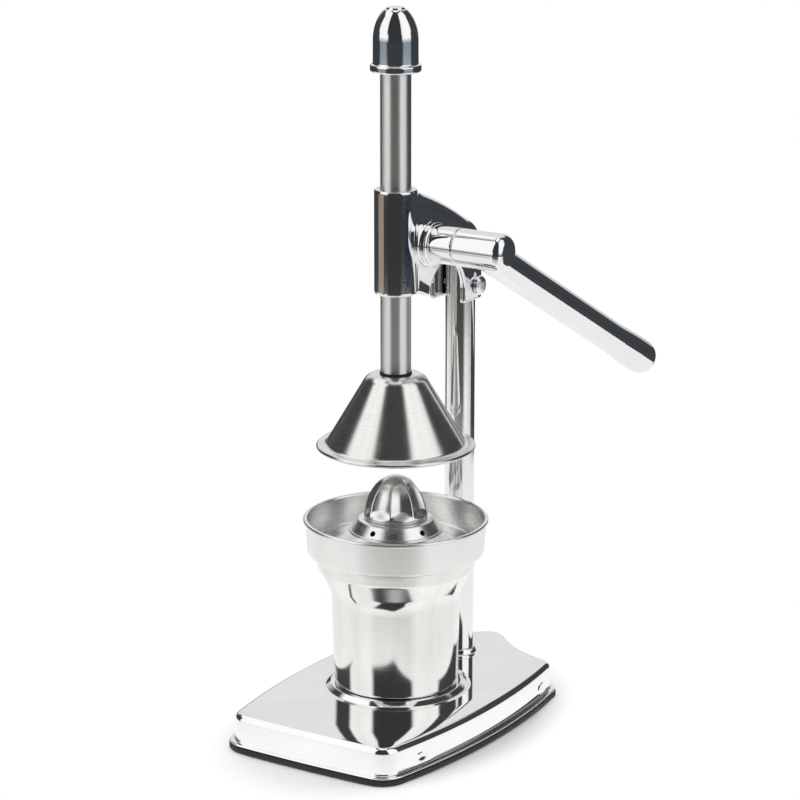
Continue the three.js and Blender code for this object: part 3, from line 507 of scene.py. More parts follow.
def castSurface(name, distance, low, high, step):
    low = np.array(low, float)
    count = np.ceil((np.array(high, float) - low) / step).astype(int) + 1
    axes = [low[i] + step * np.arange(count[i]) for i in range(3)]
    grid = np.stack(np.meshgrid(*axes, indexing="ij"), -1).reshape(-1, 3)
    parts = np.array_split(grid, max(1, len(grid) // castSettings["gridPart"]))
    field = np.concatenate([distance(part) for part in parts])
    inside = (field < 0).reshape(count)
    cells = np.zeros(count - 1, int)
    for dx, dy, dz in np.ndindex(2, 2, 2):
        cells += inside[dx:count[0] - 1 + dx, dy:count[1] - 1 + dy, dz:count[2] - 1 + dz]
    mixed = (cells > 0) & (cells < 8)
    number = -np.ones(mixed.shape, int)
    number[mixed] = np.arange(mixed.sum())
    middle = low + step * (np.argwhere(mixed) + 0.5)
    points = middle.copy()
    probe = castSettings["probe"]
    wander = castSettings["wander"] * step
    for _ in range(castSettings["passes"]):
        value = distance(points)
        slope = np.stack([(distance(points + offset) - distance(points - offset)) / (2 * probe)
                          for offset in np.eye(3) * probe], -1)
        length = np.maximum((slope ** 2).sum(-1), castSettings["flattest"])
        points -= slope * (value / length)[:, None]
        points = np.clip(points, middle - wander, middle + wander)
    faces = []
    for axis in range(3):
        one, two = [i for i in range(3) if i != axis]
        shift = [slice(None)] * 3
        back = [slice(None)] * 3
        shift[axis] = slice(1, None)
        back[axis] = slice(None, -1)
        a, b = inside[tuple(back)], inside[tuple(shift)]
        for index in np.argwhere(a != b):
            if index[one] == 0 or index[two] == 0:
                continue
            if index[one] >= count[one] - 1 or index[two] >= count[two] - 1:
                continue
            corners = []
            for du, dv in ((0, 0), (1, 0), (1, 1), (0, 1)):
                cell = index.copy()
                cell[one] -= du
                cell[two] -= dv
                corners.append(int(number[tuple(cell)]))
            faces.append(tuple(corners))
    return newPiece(name, points.tolist(), faces)


def roundedOff(a, b, radius):
    over = np.sqrt(np.maximum(a + radius, 0) ** 2 + np.maximum(b + radius, 0) ** 2)
    return np.minimum(-radius, np.maximum(a, b)) + over


def filleted(a, b, radius):
    under = np.sqrt(np.maximum(radius - a, 0) ** 2 + np.maximum(radius - b, 0) ** 2)
    return np.maximum(radius, np.minimum(a, b)) - under


def cutAway(a, b, radius):
    return roundedOff(a, -b, radius)


def barOnPivot(p, radius, start, end, soft):
    across = np.hypot(p[:, 1] - pivot["y"], p[:, 2] - pivot["z"]) - radius
    along = np.maximum(start - p[:, 0], p[:, 0] - end)
    return roundedOff(across, along, soft)


# Base shell, with its stages for the cup and the column
baseSizes = {
    "top": 24.5, "frontHalfWidth": 60.2, "halfWidth": 69.2, "rearHalfWidth": 62.0,
    "frontReach": 101.0, "frontBow": 1.1, "rearReach": 123.5, "shoulderReach": 94.5,
    "frontCorner": 13.0, "rearCorner": 9.0, "hollow": 40.0, "nose": 12.0,
    "flange": 3.5, "flangeSheet": 1.5, "flangeBevel": 0.5, "flangeFillet": 1.2, "edge": 4.4,
    "pillowDrop": 1.1, "pillowShare": 0.85, "pillowCentre": 15.0, "pillowRows": 12,
    "dentDepth": 1.3, "dentWidth": 6.0, "dentRows": 6, "dentStep": 1.3, "dentSide": 40.0,
    "dentPlaces": (-68, 76),
}
# Each stage: its centre and a line of radius, height over the base's top and corner radius
baseStages = {
    "cup": {"centre": (0, 0), "line": [
        (39.4, 2.5, 0), (41.2, 2.5, 1.0), (43.4, 0.9, 0.9), (44.5, 0.05, 0.25), (45.7, 0.4, 0.8),
        (47.4, 0, 1.2), (49, 0, 0)]},
    "column": {"centre": (0, column["back"]), "line": [
        (9.6, 3.2, 0), (10.8, 3.2, 0.7), (11.2, 1.2, 0.8), (11.7, 0, 0.8), (15, 0, 0)]},
}
stageSides = 144
# The mat's rings: how far outside the base's outline, and how far over the mat's foot or under its top
matLines = {"foot": ((2.4, 0), (3.2, 0.3), (3.8, 1.0)), "top": ((3.8, 0.6), (3.3, 0))}


def arcPoints(cx, cy, radius, start, end, steps):
    return [Vector((cx + radius * math.cos(start + (end - start) * i / steps),
                    cy + radius * math.sin(start + (end - start) * i / steps))) for i in range(steps + 1)]


def bezierPoints(controls, steps):
    line = []
    for i in range(steps + 1):
        level = [Vector(c) for c in controls]
        while len(level) > 1:
            level = [a.lerp(b, i / steps) for a, b in zip(level, level[1:])]
        line.append(level[0])
    return line


def baseOutline():
    s = baseSizes
    front = (s["frontHalfWidth"] - s["frontCorner"], s["frontBow"] + s["frontCorner"] - s["frontReach"])
    rear = (s["rearHalfWidth"] - s["rearCorner"], s["shoulderReach"] - s["rearCorner"])
    tilt = math.atan2(s["halfWidth"] - s["frontHalfWidth"], s["frontReach"] - s["frontCorner"])
    last = math.pi / 2 - math.atan2(s["rearReach"] - s["shoulderReach"], s["rearHalfWidth"]) / 2
    line = bezierPoints([(0, -s["frontReach"]), (front[0] / 2, -s["frontReach"]),
                         (front[0], s["frontBow"] - s["frontReach"])], 20)
    corner = arcPoints(*front, s["frontCorner"], -math.pi / 2, -tilt, 24)
    line += corner
    bulge = 2 * s["halfWidth"] - (s["frontHalfWidth"] + s["rearHalfWidth"]) / 2
    line += bezierPoints([corner[-1], (bulge, 0), (s["rearHalfWidth"], rear[1])], 70)
    corner = arcPoints(*rear, s["rearCorner"], 0, last, 24)
    line += corner
    end = corner[-1]
    line += bezierPoints([end, (end.x - s["hollow"] * math.sin(last), end.y + s["hollow"] * math.cos(last)),
                          (s["nose"], s["rearReach"]), (0, s["rearReach"])], 48)
    right = [line[0]] + [b for a, b in zip(line, line[1:]) if (b - a).length > 0.05]
    return right + [Vector((-p.x, p.y)) for p in reversed(right[1:-1])]


def outlineRing(line, inset, z, dent=0.0):
    ring = []
    count = len(line)
    for i, p in enumerate(line):
        along = (line[(i + 1) % count] - line[i - 1]).normalized()
        push = inset
        if dent:
            for place in baseSizes["dentPlaces"]:
                share = math.exp(-((p.y - place) / baseSizes["dentWidth"]) ** 2)
                push += dent * share * (abs(p.x) > baseSizes["dentSide"])
        ring.append((p.x - along.y * push, p.y + along.x * push, z))
    return ring


def ringFaces(count, rows, start=0):
    faces = []
    for row in range(rows - 1):
        for i in range(count):
            j = (i + 1) % count
            a, b = start + row * count, start + (row + 1) * count
            faces.append((a + i, a + j, b + j, b + i))
    return faces


# The base's wall from its foot up: inset from the outline, height and depth of the dents
def baseWall():
    s = baseSizes
    foot, _ = levels("base_shell")
    bevel, sheet = s["flangeBevel"], foot + s["flangeSheet"]
    wall = [(bevel - s["flange"], foot, 0), (-s["flange"], foot + bevel, 0), (-s["flange"], sheet - bevel, 0),
            (bevel - s["flange"], sheet, 0)]
    fillet = arcPoints(-s["flangeFillet"], sheet + s["flangeFillet"], s["flangeFillet"], -math.pi / 2, 0, 5)
    wall += [(p.x, p.y, 0) for p in fillet]
    for i in range(1, s["dentRows"] + 1):
        share = math.sin(math.pi * i / (s["dentRows"] + 1)) ** 2
        wall.append((0, sheet + s["flangeFillet"] + i * s["dentStep"], share * s["dentDepth"]))
    brink = s["top"] - s["pillowDrop"]
    edgeTurn = math.pi / 2 + math.atan(2 * s["pillowDrop"] / (s["halfWidth"] * (1 - s["pillowShare"])))
    edge = arcPoints(s["edge"], brink - s["edge"], s["edge"], math.pi, edgeTurn, 10)
    return wall + [(p.x, p.y, 0) for p in edge]


# The top swells a little from its brink towards the middle
def pillowPoints(brinkRing):
    s = baseSizes
    points = []
    for i in range(1, s["pillowRows"] + 1):
        part = i / s["pillowRows"]
        share = 1 + (s["pillowShare"] - 1) * part
        z = s["top"] + (brinkRing[0][2] - s["top"]) * (1 - part) ** 2
        centre = s["pillowCentre"]
        points += [(x * share, centre + (y - centre) * share, z) for x, y, _ in brinkRing]
    return points


def ringEdges(work, ring):
    return [work.edges.get(pair) for pair in zip(ring, ring[1:] + ring[:1])]


def addStage(work, stage):
    line = softProfile([(r, baseSizes["top"] + z, soft) for r, z, soft in stage["line"]], steps=8)
    rings = []
    for p in line:
        ring = []
        for along, across in circle(stageSides):
            corner = (stage["centre"][0] + p.x * along, stage["centre"][1] + p.x * across, p.y)
            ring.append(work.verts.new([c * mm for c in corner]))
        rings.append(ring)
    for first, second in zip(rings, rings[1:]):
        for i in range(stageSides):
            j = (i + 1) % stageSides
            work.faces.new((first[i], first[j], second[j], second[i]))
    work.faces.new(rings[0])
    return ringEdges(work, rings[-1])


def makeBase():
    outline = baseOutline()
    count = len(outline)
    points = []
    for inset, z, dent in baseWall():
        points += outlineRing(outline, inset, z, dent)
    points += pillowPoints(points[-count:])
    shell = newPiece("baseShell", points, ringFaces(count, len(points) // count))
    work = bmesh.new()
    work.from_mesh(shell.data)
    corners = list(work.verts)
    work.faces.new(corners[:count])
    edges = ringEdges(work, corners[-count:])
    for stage in baseStages.values():
        edges += addStage(work, stage)
    bmesh.ops.triangle_fill(work, edges=edges, use_beauty=True, use_dissolve=False)
    work.to_mesh(shell.data)
    work.free()
    dress(shell, "baseChrome", "stand", "chrome", "base_shell")


def makeMat():
    low, high = levels("rubber_mat")
    outline = baseOutline()
    count = len(outline)
    rows = [(reach, low + rise) for reach, rise in matLines["foot"]]
    rows += [(reach, high - drop) for reach, drop in matLines["top"]]
    points = []
    for reach, z in rows:
        points += outlineRing(outline, -reach, z)
    faces = ringFaces(count, len(rows))
    faces.append(tuple(range(count)))
    faces.append(tuple(range(len(points) - count, len(points))))
    dress(newPiece("rubberMat", points, faces), "rubber", "stand", "rubber", "rubber_mat")


# Column
def makeColumn():
    place = (0, column["back"], 0)
    piece = roundBar("columnTube", "column_tube", column["radius"], column["edge"], 128, place)
    dress(piece, "column", "stand", "chrome", "column_tube")


# Head casting. The crown falls by a drop times a power of the share of its length, for each pair
headSizes = {
    "radius": 13.3, "edge": 1.2, "wall": 3.6, "guideDrop": 29.5, "guideFillet": 1.2, "rodBore": 9.75,
    "boreEdge": 0.8, "webHalf": 13.0, "webFront": 4.0, "webEdge": 0.5, "legFillet": 0.8,
    "crownTop": 341.4, "crownStart": 13.0, "crownLength": 75.3, "crownEnd": 1.05, "crownCorner": 8.0,
    "crownLine": ((1, 26.6), (2, 12.4), (12, 2.5)),
    "lipHeight": 282.2, "lipSlope": 0.395, "archBack": 38.8, "archSpring": 272.5, "archRadius": 20.0,
    "hollowTop": 297.5, "hollowEdge": 0.5, "chamberHalf": 7.3, "chamberRadius": 15.3, "chamberFront": 6.0,
    "rootRadius": 13.4, "rootReach": 17.5, "rootFillet": 1.6,
    "bossRadius": 11.8, "bossReach": 34.5, "bossEdge": 0.7, "bossFillet": 0.8,
    "farEdge": 0.8, "farFillet": 3.0, "shaftBore": 8.2, "shaftEdge": 0.4,
    "castLow": (-19.0, -15.0, 259.0), "castHigh": (36.5, 91.0, 347.0), "castStep": 0.7,
}


def headBridge(x, y, z, low):
    s = headSizes
    span = np.maximum(s["webFront"] - y, y - column["back"])
    web = roundedOff(np.abs(x) - s["webHalf"], span, s["webEdge"])
    leg = np.hypot(x, y - column["back"]) - s["radius"]
    share = np.clip((y - s["crownStart"]) / s["crownLength"], 0, s["crownEnd"])
    crown = s["crownTop"] - sum(drop * share ** power for power, drop in s["crownLine"])
    lean = sum(drop * power * share ** (power - 1) for power, drop in s["crownLine"]) / s["crownLength"]
    above = (z - crown) / np.sqrt(1 + lean ** 2)
    body = roundedOff(filleted(web, leg, s["legFillet"]), above, s["crownCorner"])
    body = roundedOff(body, low - z, s["edge"])
    lip = (z - s["lipHeight"] + s["lipSlope"] * y) / math.sqrt(1 + s["lipSlope"] ** 2)
    body = cutAway(body, np.maximum(lip, y - s["archBack"]), s["edge"])
    upper = np.hypot(y - s["archBack"], z - s["archSpring"]) - s["archRadius"]
    lower = np.abs(y - s["archBack"]) - s["archRadius"]
    return cutAway(body, np.where(z > s["archSpring"], upper, lower), s["edge"])


# The pocket behind the guide, the column's socket and the pinion's chamber
def headHollows(x, y, z):
    s = headSizes
    inner = s["radius"] - s["wall"]
    under = z - s["hollowTop"]
    between = np.maximum(s["archBack"] - s["archRadius"] - y, y - column["back"])
    pocket = np.maximum(np.maximum(np.abs(x) - inner, under), between)
    socket = np.maximum(np.hypot(x, y - column["back"]) - inner, under)
    around = np.maximum(np.abs(x) - s["chamberHalf"], z - pivot["z"] - s["chamberRadius"])
    ends = np.maximum(s["chamberFront"] - y, y - pivot["y"] - s["chamberRadius"])
    return pocket, socket, np.maximum(around, ends)


def headDistance(p):
    s = headSizes
    low, high = levels("head_casting")
    x, y, z = p[:, 0], p[:, 1], p[:, 2]
    ends = np.maximum(pivot["z"] - s["guideDrop"] - z, z - high)
    guide = roundedOff(np.hypot(x, y) - s["radius"], ends, s["edge"])
    body = filleted(headBridge(x, y, z, low), guide, s["guideFillet"])
    root = barOnPivot(p, s["rootRadius"], 0, s["rootReach"], s["bossEdge"])
    body = filleted(body, root, s["rootFillet"])
    far = barOnPivot(p, s["bossRadius"], -s["rootReach"], 0, s["farEdge"])
    body = filleted(body, far, s["farFillet"])
    boss = barOnPivot(p, s["bossRadius"], 0, s["bossReach"], s["bossEdge"])
    body = filleted(body, boss, s["bossFillet"])
    for hollow in headHollows(x, y, z):
        body = cutAway(body, hollow, s["hollowEdge"])
    body = cutAway(body, np.hypot(x, y) - s["rodBore"], s["boreEdge"])
    shaft = np.hypot(y - pivot["y"], z - pivot["z"]) - s["shaftBore"]
    return cutAway(body, np.maximum(shaft, x), s["shaftEdge"])


def makeHead():
    s = headSizes
    piece = castSurface("headCasting", headDistance, s["castLow"], s["castHigh"], s["castStep"])
    dress(piece, "chrome", "stand", "chrome", "head_casting", flats=False)


# Clamp screw: its head as a line of radius, height and corner radius, and a recess of width and length
screwSizes = {
    "headLine": [(0, 3.6, 0), (3.465, 3.5, 3), (5.859, 2.232, 2), (6.3, 1.08, 0.8), (6.3, 0, 0.2)],
    "shankRadius": 2.9, "shankReach": 36.0, "mouthHeight": 4.6, "crossMouth": (1.7, 7.4),
    "floorHeight": 1.4, "crossFloor": (1.02, 3.33), "side": 13.4, "drop": 37.5, "turn": 28.0,
}


def crossCutter(turn):
    s = screwSizes
    points = []
    for z, (width, length) in ((s["mouthHeight"], s["crossMouth"]), (s["floorHeight"], s["crossFloor"])):
        for a, b in ((-1, -1), (1, -1), (1, 1), (-1, 1)):
            along, across = a * length / 2, b * width / 2
            points.append((along * math.cos(turn) - across * math.sin(turn),
                           along * math.sin(turn) + across * math.cos(turn), z))
    faces = [(0, 1, 2, 3), (7, 6, 5, 4), (0, 4, 5, 1), (1, 5, 6, 2), (2, 6, 7, 3), (3, 7, 4, 0)]
    return newPiece("cross", points, faces)


def makeClampScrew():
    s = screwSizes
    shank = [(s["shankRadius"], 0, 0), (s["shankRadius"], -s["shankReach"], 0.4), (0, -s["shankReach"], 0)]
    screw = turned("clampScrew", softProfile(s["headLine"] + shank), sides=96)
    for turn in (0, math.pi / 2):
        cut(screw, crossCutter(turn))
    place = Matrix.Translation(Vector((s["side"], column["back"], pivot["z"] - s["drop"])) * mm)
    spin = Matrix.Rotation(math.radians(s["turn"]), 4, "Z")
    screw.data.transform(place @ Matrix.Rotation(math.pi / 2, 4, "Y") @ spin)
    dress(screw, "screw", "stand", "chrome", "clamp_screw")
    screw.data.set_sharp_from_angle(angle=math.radians(35))


# Lever: a hub on the pivot and a round arm that swells towards its end
leverSizes = {
    "hubStart": 34.75, "hubEnd": 69.5, "hubRadius": 11.8, "hubRound": 6.0, "hubEdge": 0.6,
    "place": 50.0, "radius": 10.15, "rootRadius": 10.3, "rootLength": 60.0, "length": 238.5, "slope": 28.6,
    "swellRadius": 11.3, "swellStart": 180.0, "swellPeak": 222.0, "tipRound": 7.5, "fillet": 2.5,
    "screwPlace": 42.0, "screwRadius": 2.6, "screwEdge": 0.3,
    "castSides": (33.0, 71.5), "castMargin": 14.0, "castOverrun": 2.0, "castStep": 0.9,
}


def leverDistance(p):
    s = leverSizes
    slope = math.radians(s["slope"])
    y, z = p[:, 1] - pivot["y"], p[:, 2] - pivot["z"]
    along = y * math.cos(slope) - z * math.sin(slope)
    across = np.hypot(p[:, 0] - s["place"], y * math.sin(slope) + z * math.cos(slope))
    grow = np.clip((along - s["swellStart"]) / (s["swellPeak"] - s["swellStart"]), 0, 1)
    grow = grow * grow * (3 - 2 * grow)
    radius = s["rootRadius"] + (s["radius"] - s["rootRadius"]) * np.clip(along / s["rootLength"], 0, 1)
    radius = radius + (s["swellRadius"] - s["radius"]) * grow
    arm = roundedOff(across - radius, np.maximum(along - s["length"], -along), s["tipRound"])
    hub = np.hypot(y, z) - s["hubRadius"]
    outer = roundedOff(hub, p[:, 0] - s["hubEnd"], s["hubRound"])
    inner = roundedOff(hub, s["hubStart"] - p[:, 0], s["hubEdge"])
    hub = np.where(p[:, 0] > (s["hubStart"] + s["hubEnd"]) / 2, outer, inner)
    hole = np.hypot(p[:, 0] - s["screwPlace"], y) - s["screwRadius"]
    return cutAway(filleted(hub, arm, s["fillet"]), np.maximum(hole, z), s["screwEdge"])


def makeLever():
    s = leverSizes
    slope = math.radians(s["slope"])
    end, margin = s["length"] + s["castOverrun"], s["castMargin"]
    low = (s["castSides"][0], pivot["y"] - margin, pivot["z"] - end * math.sin(slope) - margin)
    high = (s["castSides"][1], pivot["y"] + end * math.cos(slope) + margin, pivot["z"] + margin)
    piece = castSurface("leverArm", leverDistance, low, high, s["castStep"])
    dress(piece, "chrome", "crank", "chrome", "lever", flats=False)


# Shaft end and its washer on the far side
shaftSizes = {"radius": 6.0, "washerBore": 6.2, "washerRadius": 10.0}


def makeShaft():
    radius = shaftSizes["radius"]
    place = (0, pivot["y"], pivot["z"])
    start, end = levels("pivot_shaft", 0)
    line = softProfile([(0, start, 0), (radius, start, 0.8), (radius, end, 0.4), (0, end, 0)])
    piece = turned("pivotShaft", line, sides=96, base=place, axis="X")
    dress(piece, "steel", "crank", "steel", "pivot_shaft")
    line = washerLine(shaftSizes["washerBore"], shaftSizes["washerRadius"], *levels("shaft_washer", 0))
    piece = turned("shaftWasher", line, True, 96, place, "X")
    dress(piece, "steel", "crank", "steel", "shaft_washer")


# Rod with its rack, which the pinion on the shaft drives
rodSizes = {"radius": 9.5, "edge": 0.6}
rackSizes = {"module": 2.0, "pinionRadius": 12.0, "tip": 1.6, "root": 2.5, "outside": 14.0, "halfWidth": 11.0,
             "pressure": 20.0, "play": 0.175, "gaps": 14, "gapsBelow": 4}


def rackCutter():
    s = rackSizes
    pitch = s["module"] * math.pi
    pitchLine = pivot["y"] - s["pinionRadius"]
    tip, root = pitchLine + s["tip"], pitchLine - s["root"]
    slope = math.tan(math.radians(s["pressure"]))
    start = pivot["z"] - s["gapsBelow"] * pitch
    low, high = start - pitch / 2, start + (s["gaps"] - 0.5) * pitch
    outline = [(s["outside"], low), (tip, low)]
    for gap in range(s["gaps"]):
        z = start + gap * pitch
        for side, depth in ((-1, tip), (-1, root), (1, root), (1, tip)):
            outline.append((depth, z + side * (pitch / 4 + s["play"] + (depth - pitchLine) * slope)))
    outline += [(tip, high), (s["outside"], high)]
    points = [(x, y, z) for x in (-s["halfWidth"], s["halfWidth"]) for y, z in outline]
    count = len(outline)
    faces = [tuple(range(count)), tuple(range(count, 2 * count))]
    faces += [(i, (i + 1) % count, count + (i + 1) % count, count + i) for i in range(count)]
    return newPiece("rackCutter", points, faces)


def makeRod():
    rod = roundBar("rackRod", "rack_rod", rodSizes["radius"], rodSizes["edge"], 144)
    cut(rod, rackCutter())
    dress(rod, "rod", "plunger", "satin", "rack_rod")
    rod.data.set_sharp_from_angle(angle=math.radians(25))


# Cap, with a button set into its roof
capSizes = {
    "flangeRadius": 15.65, "flangeHeight": 4.3, "footRadius": 13.95, "footRise": 0.5, "bodyRadius": 13.85,
    "bodyHeight": 13.0, "shoulder": 19.0, "domeHeight": 22.5, "domePower": 2.1, "domeBend": 0.62,
    "domeSteps": 40, "roof": 37.4, "lip": 0.4, "lipRun": 0.7, "buttonRadius": 5.9,
    "grooveOut": 0.35, "grooveIn": 0.3, "bore": 9.7, "socket": 13.6,
}


def makeCap():
    s = capSizes
    low, high = levels("rod_cap")
    flange, shoulder, roof = low + s["flangeHeight"], low + s["shoulder"], low + s["roof"]
    line = softProfile([
        (0, low + s["socket"], 0), (s["bore"], low + s["socket"], 0), (s["bore"], low, 0.3),
        (s["flangeRadius"], low, 1.2), (s["flangeRadius"], flange, 1.4),
        (s["footRadius"], flange + s["footRise"], 2.4), (s["bodyRadius"], low + s["bodyHeight"], 20),
        (s["bodyRadius"], shoulder, 0)])
    for i in range(1, s["domeSteps"] + 1):
        rise = (s["roof"] - s["shoulder"]) * i / s["domeSteps"]
        share = (1 - (rise / s["domeHeight"]) ** s["domePower"]) ** s["domeBend"]
        line.append(Vector((s["bodyRadius"] * share, shoulder + rise)))
    lip, button, brink = roof + s["lip"], s["buttonRadius"], line[-1].x
    line += softProfile([
        (brink, roof, 0), (brink - s["lipRun"], lip, 0.4), (button + s["grooveOut"], lip, 0.2),
        (button, roof, 0.2), (button - s["grooveIn"], lip, 0.2), (button - s["lipRun"], high, 1.0),
        (0, high, 0)])[1:]
    dress(turned("rodCap", line), "chrome", "plunger", "chrome", "rod_cap")


# Gasket and bell
gasketSizes = {"bore": 4.2, "radius": 10.1}
bellSizes = {
    "topRadius": 17.4, "shoulder": 8.0, "footRadius": 43.4, "footHeight": 3.4, "rimRadius": 49.6,
    "rimHeight": 2.4, "rimRound": 0.9, "brimRise": 0.3, "lipRise": 0.6, "seatInset": 0.4, "wall": 1.2,
    "topWallShare": 0.55, "footWallShare": 1.3, "bore": 4.2,
}


def makeGasket():
    line = washerLine(gasketSizes["bore"], gasketSizes["radius"], *levels("bell_gasket"))
    piece = turned("bellGasket", line, True, 96)
    dress(piece, "rubber", "plunger", "rubber", "bell_gasket", flats=False)


def makeBell():
    s = bellSizes
    low, high = levels("bell")
    foot, rim = low + s["footHeight"], low + s["rimHeight"]
    wall, edge = s["wall"], s["rimRound"]
    corners = [
        (s["bore"], high, 0.2), (s["topRadius"], high, s["shoulder"]), (s["footRadius"], foot, 2.2),
        (s["footRadius"] + wall, rim + s["brimRise"], 1.6), (s["rimRadius"] - edge, rim, edge),
        (s["rimRadius"], rim - edge, edge), (s["rimRadius"], low + s["lipRise"], 0.7),
        (s["rimRadius"] - edge, low, 0.7), (s["footRadius"] - s["seatInset"], low, 0.4),
        (s["footRadius"] - wall * s["footWallShare"], foot, 1.5),
        (s["topRadius"] - wall * s["topWallShare"], high - wall, s["shoulder"] - wall),
        (s["bore"], high - wall, 0.2),
    ]
    piece = turned("bellCone", softProfile(corners, True), True, 192)
    dress(piece, "bell", "plunger", "brushed", "bell")


# Cup
cupSizes = {
    "footRadius": 38.9, "footRound": 2.6, "wallTop": 61.0, "wallRadius": 40.7, "wallSoft": 26.0,
    "flareTop": 77.5, "flareRadius": 49.6, "flareSoft": 5.0, "flareLean": 0.3, "rimRadius": 51.5,
    "rimHeight": 3.6, "rimSoft": 1.7, "rimWidth": 2.6, "sheet": 1.0,
}


def makeCup():
    s = cupSizes
    low, high = levels("juice_cup")
    sheet, lean = s["sheet"], s["flareLean"]
    rim, flare, wall = high - s["rimHeight"], low + s["flareTop"], low + s["wallTop"]
    corners = [
        (0, low, 0), (s["footRadius"], low, s["footRound"]), (s["wallRadius"], wall, s["wallSoft"]),
        (s["flareRadius"], flare, s["flareSoft"]), (s["flareRadius"] + lean, rim, 0.3),
        (s["rimRadius"], rim, s["rimSoft"]), (s["rimRadius"], high, s["rimSoft"]),
        (s["rimRadius"] - s["rimWidth"], high, 0.9), (s["flareRadius"] - sheet, rim - lean, 0.8),
        (s["flareRadius"] - sheet, flare, s["flareSoft"]), (s["wallRadius"] - sheet, wall, s["wallSoft"]),
        (s["footRadius"] - sheet, low + sheet, s["footRound"] - sheet), (0, low + sheet, 0),
    ]
    line = softProfile(corners, steps=10)
    dress(turned("juiceCup", line, sides=192), "cup", "cup", "polished", "juice_cup")


# Strainer bowl with its collar and drain holes
bowlSizes = {
    "wallRadius": 56.6, "footRadius": 55.4, "footRound": 2.6, "rimRadius": 58.0, "bead": 1.3, "beadLap": 0.1,
    "sheet": 1.2, "seat": 51.7, "seatRise": 0.8, "ledge": 49.0, "ledgeLean": 0.6, "ledgeLift": 0.9,
    "floorRadius": 52.9, "floorRise": 2.9, "collarFoot": 29.3, "collarRise": 13.8, "collarStep": 1.1,
    "collarLean": 0.4, "collarWall": 1.0, "stepWall": 1.8, "bandRadius": 28.3, "bandTop": 23.6,
    "collarTop": 21.2, "collarHeight": 8.4, "mouth": 12.0, "shoulderDrop": 0.6,
    "holes": 5, "holeRadius": 1.85, "holeRise": 2.9, "firstHole": -18.0, "drillReach": 4.0,
}


def drillHoles(bowl, step, shoulder):
    s = bowlSizes
    radius, reach = s["holeRadius"], s["drillReach"]
    lean = math.atan2(shoulder - step, s["bandRadius"] - s["bandTop"])
    middle = Vector((s["bandRadius"] - s["holeRise"] / math.tan(lean), 0, step + s["holeRise"])) * mm
    for i in range(s["holes"]):
        line = [Vector((0, -reach)), Vector((radius, -reach)), Vector((radius, reach)), Vector((0, reach))]
        drill = turned("hole", line, sides=32)
        turn = Matrix.Rotation(math.radians(s["firstHole"] + i * 360 / s["holes"]), 4, "Z")
        drill.data.transform(turn @ Matrix.Translation(middle) @ Matrix.Rotation(lean, 4, "Y"))
        cut(bowl, drill)


def makeBowl():
    s = bowlSizes
    low, high = levels("strainer_bowl")
    sheet, inset = s["sheet"], s["collarWall"]
    foot, floor, bead = low + s["collarRise"], low + s["floorRise"], high - 2 * s["bead"]
    step, top = foot + s["collarStep"], foot + s["collarHeight"]
    shoulder = top - s["shoulderDrop"]
    corners = [
        (s["footRadius"], low, s["footRound"]), (s["seat"], low, 0.3), (s["seat"], low + s["seatRise"], 0.3),
        (s["ledge"], low + s["seatRise"], 0.5), (s["ledge"] - s["ledgeLean"], floor + s["ledgeLift"], 0.5),
        (s["collarFoot"] - inset, foot - sheet, 0.4), (s["collarFoot"] - s["stepWall"], step - sheet, 0.4),
        (s["bandRadius"] - inset, step - sheet, 0.3), (s["bandTop"] - inset, shoulder - sheet, 1.0),
        (s["collarTop"], top - sheet, 0.6), (s["mouth"], top - sheet, 0.3), (s["mouth"], top, 0.3),
        (s["collarTop"], top, 0.9), (s["bandTop"], shoulder, 1.0), (s["bandRadius"], step, 0.4),
        (s["collarFoot"] - s["collarLean"], step, 0.35), (s["collarFoot"], foot, 0.5),
        (s["floorRadius"], floor, 1.2), (s["footRadius"] - sheet, low + s["footRound"] + sheet, 1.4),
        (s["wallRadius"] - sheet, high - s["bead"], 0.4), (s["wallRadius"] - sheet * 0.7, high, 0.6),
        (s["rimRadius"], high, 1.1), (s["rimRadius"], bead, 1.1),
        (s["wallRadius"] + s["beadLap"], bead - s["beadLap"], 0.3),
    ]
    bowl = turned("strainerBowl", softProfile(corners, True), True, 192)
    drillHoles(bowl, step, shoulder)
    dress(bowl, "bowl", "strainer", "brushed", "strainer_bowl")
    bowl.data.set_sharp_from_angle(angle=math.radians(40))


# Reamer: a ribbed dome over a rim, open below. The inside is a plainer dome in shares of the outside
reamerSizes = {
    "radius": 20.0, "rim": 2.6, "ribs": 8, "ribPower": 0.75, "depth": 0.17, "tip": 0.1, "sheet": 1.4,
    "power": 1.7, "shoulder": 0.5, "sides": 192, "rows": 48,
    "insideRows": 12, "insideShare": 0.8, "insideTopShare": 0.88, "insideEndShare": 0.9,
}


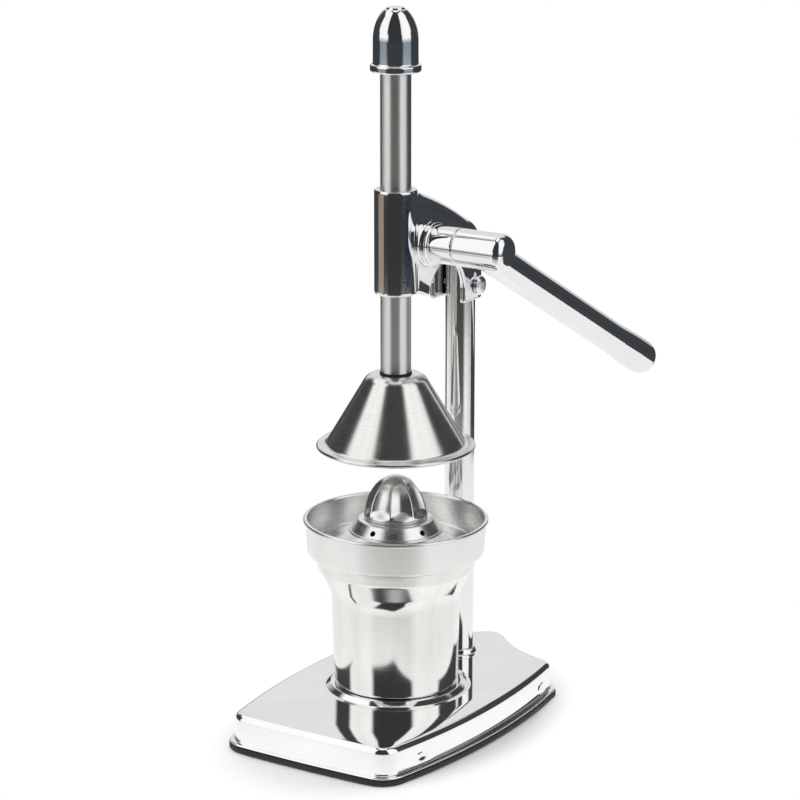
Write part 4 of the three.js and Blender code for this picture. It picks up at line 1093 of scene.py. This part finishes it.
def reamerRing(radius, z, depth=0):
    s = reamerSizes
    ring = []
    for i, (along, across) in enumerate(circle(s["sides"])):
        rib = abs(math.cos(math.pi * s["ribs"] * i / s["sides"]))
        size = radius * (1 - depth * rib ** s["ribPower"])
        ring.append((size * along, size * across, z))
    return ring


def makeReamer():
    s = reamerSizes
    low, high = levels("reamer_cone")
    sides, rows, insideRows = s["sides"], s["rows"], s["insideRows"]
    inside, dome = s["radius"] - s["sheet"], low + s["rim"]
    points = reamerRing(inside, low) + reamerRing(s["radius"], low) + reamerRing(s["radius"], dome)
    for i in range(1, rows + 1):
        share = i / rows
        radius = s["radius"] * (s["tip"] + (1 - s["tip"]) * math.sqrt(1 - share ** s["power"]))
        radius = radius * (1 if share < 1 else 0.5) - s["shoulder"] * min(1, share * 8)
        fade = min(1, share * 5) * min(1, (1 - share) * 4 + 0.15)
        points += reamerRing(radius, dome + (high - dome) * share, s["depth"] * fade)
    start = len(points)
    faces = ringFaces(sides, start // sides)
    faces.append(tuple(range(start - sides, start)))
    for i in range(insideRows + 1):
        share = i / insideRows * s["insideEndShare"]
        radius = inside * s["insideShare"] * math.sqrt(1 - share ** s["power"])
        points += reamerRing(radius, low + (high - low) * s["insideTopShare"] * share)
    faces += ringFaces(sides, insideRows + 1, start)
    faces.append(tuple(range(len(points) - sides, len(points))))
    faces += [(i, (i + 1) % sides, start + (i + 1) % sides, start + i) for i in range(sides)]
    piece = newPiece("reamerDome", points, faces)
    dress(piece, "bowl", "reamer", "brushed", "reamer_cone", flats=False)


makeBase()
makeMat()
makeColumn()
makeHead()
makeClampScrew()
makeLever()
makeShaft()
makeRod()
makeCap()
makeGasket()
makeBell()
makeCup()
makeBowl()
makeReamer()

# Carried-over solids keep their shape and get their finish
carriedOver = {
    "steel": ("column_plug", "column_washer", "column_bolt", "clamp_nut", "pinion_gear", "pinion_pin",
              "cap_stud", "bell_washer", "bell_screw"),
    "black": ("bottom_plate", "shaft_circlip", "lever_set_screw"),
    "bronze": ("boss_bush", "far_bush"),
}
for finish, names in carriedOver.items():
    for name in names:
        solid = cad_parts[name]
        if not solid.material_slots:
            solid.data.materials.append(None)
        for place in solid.material_slots:
            place.material = finishes[finish]
print("carried-over solids dressed")
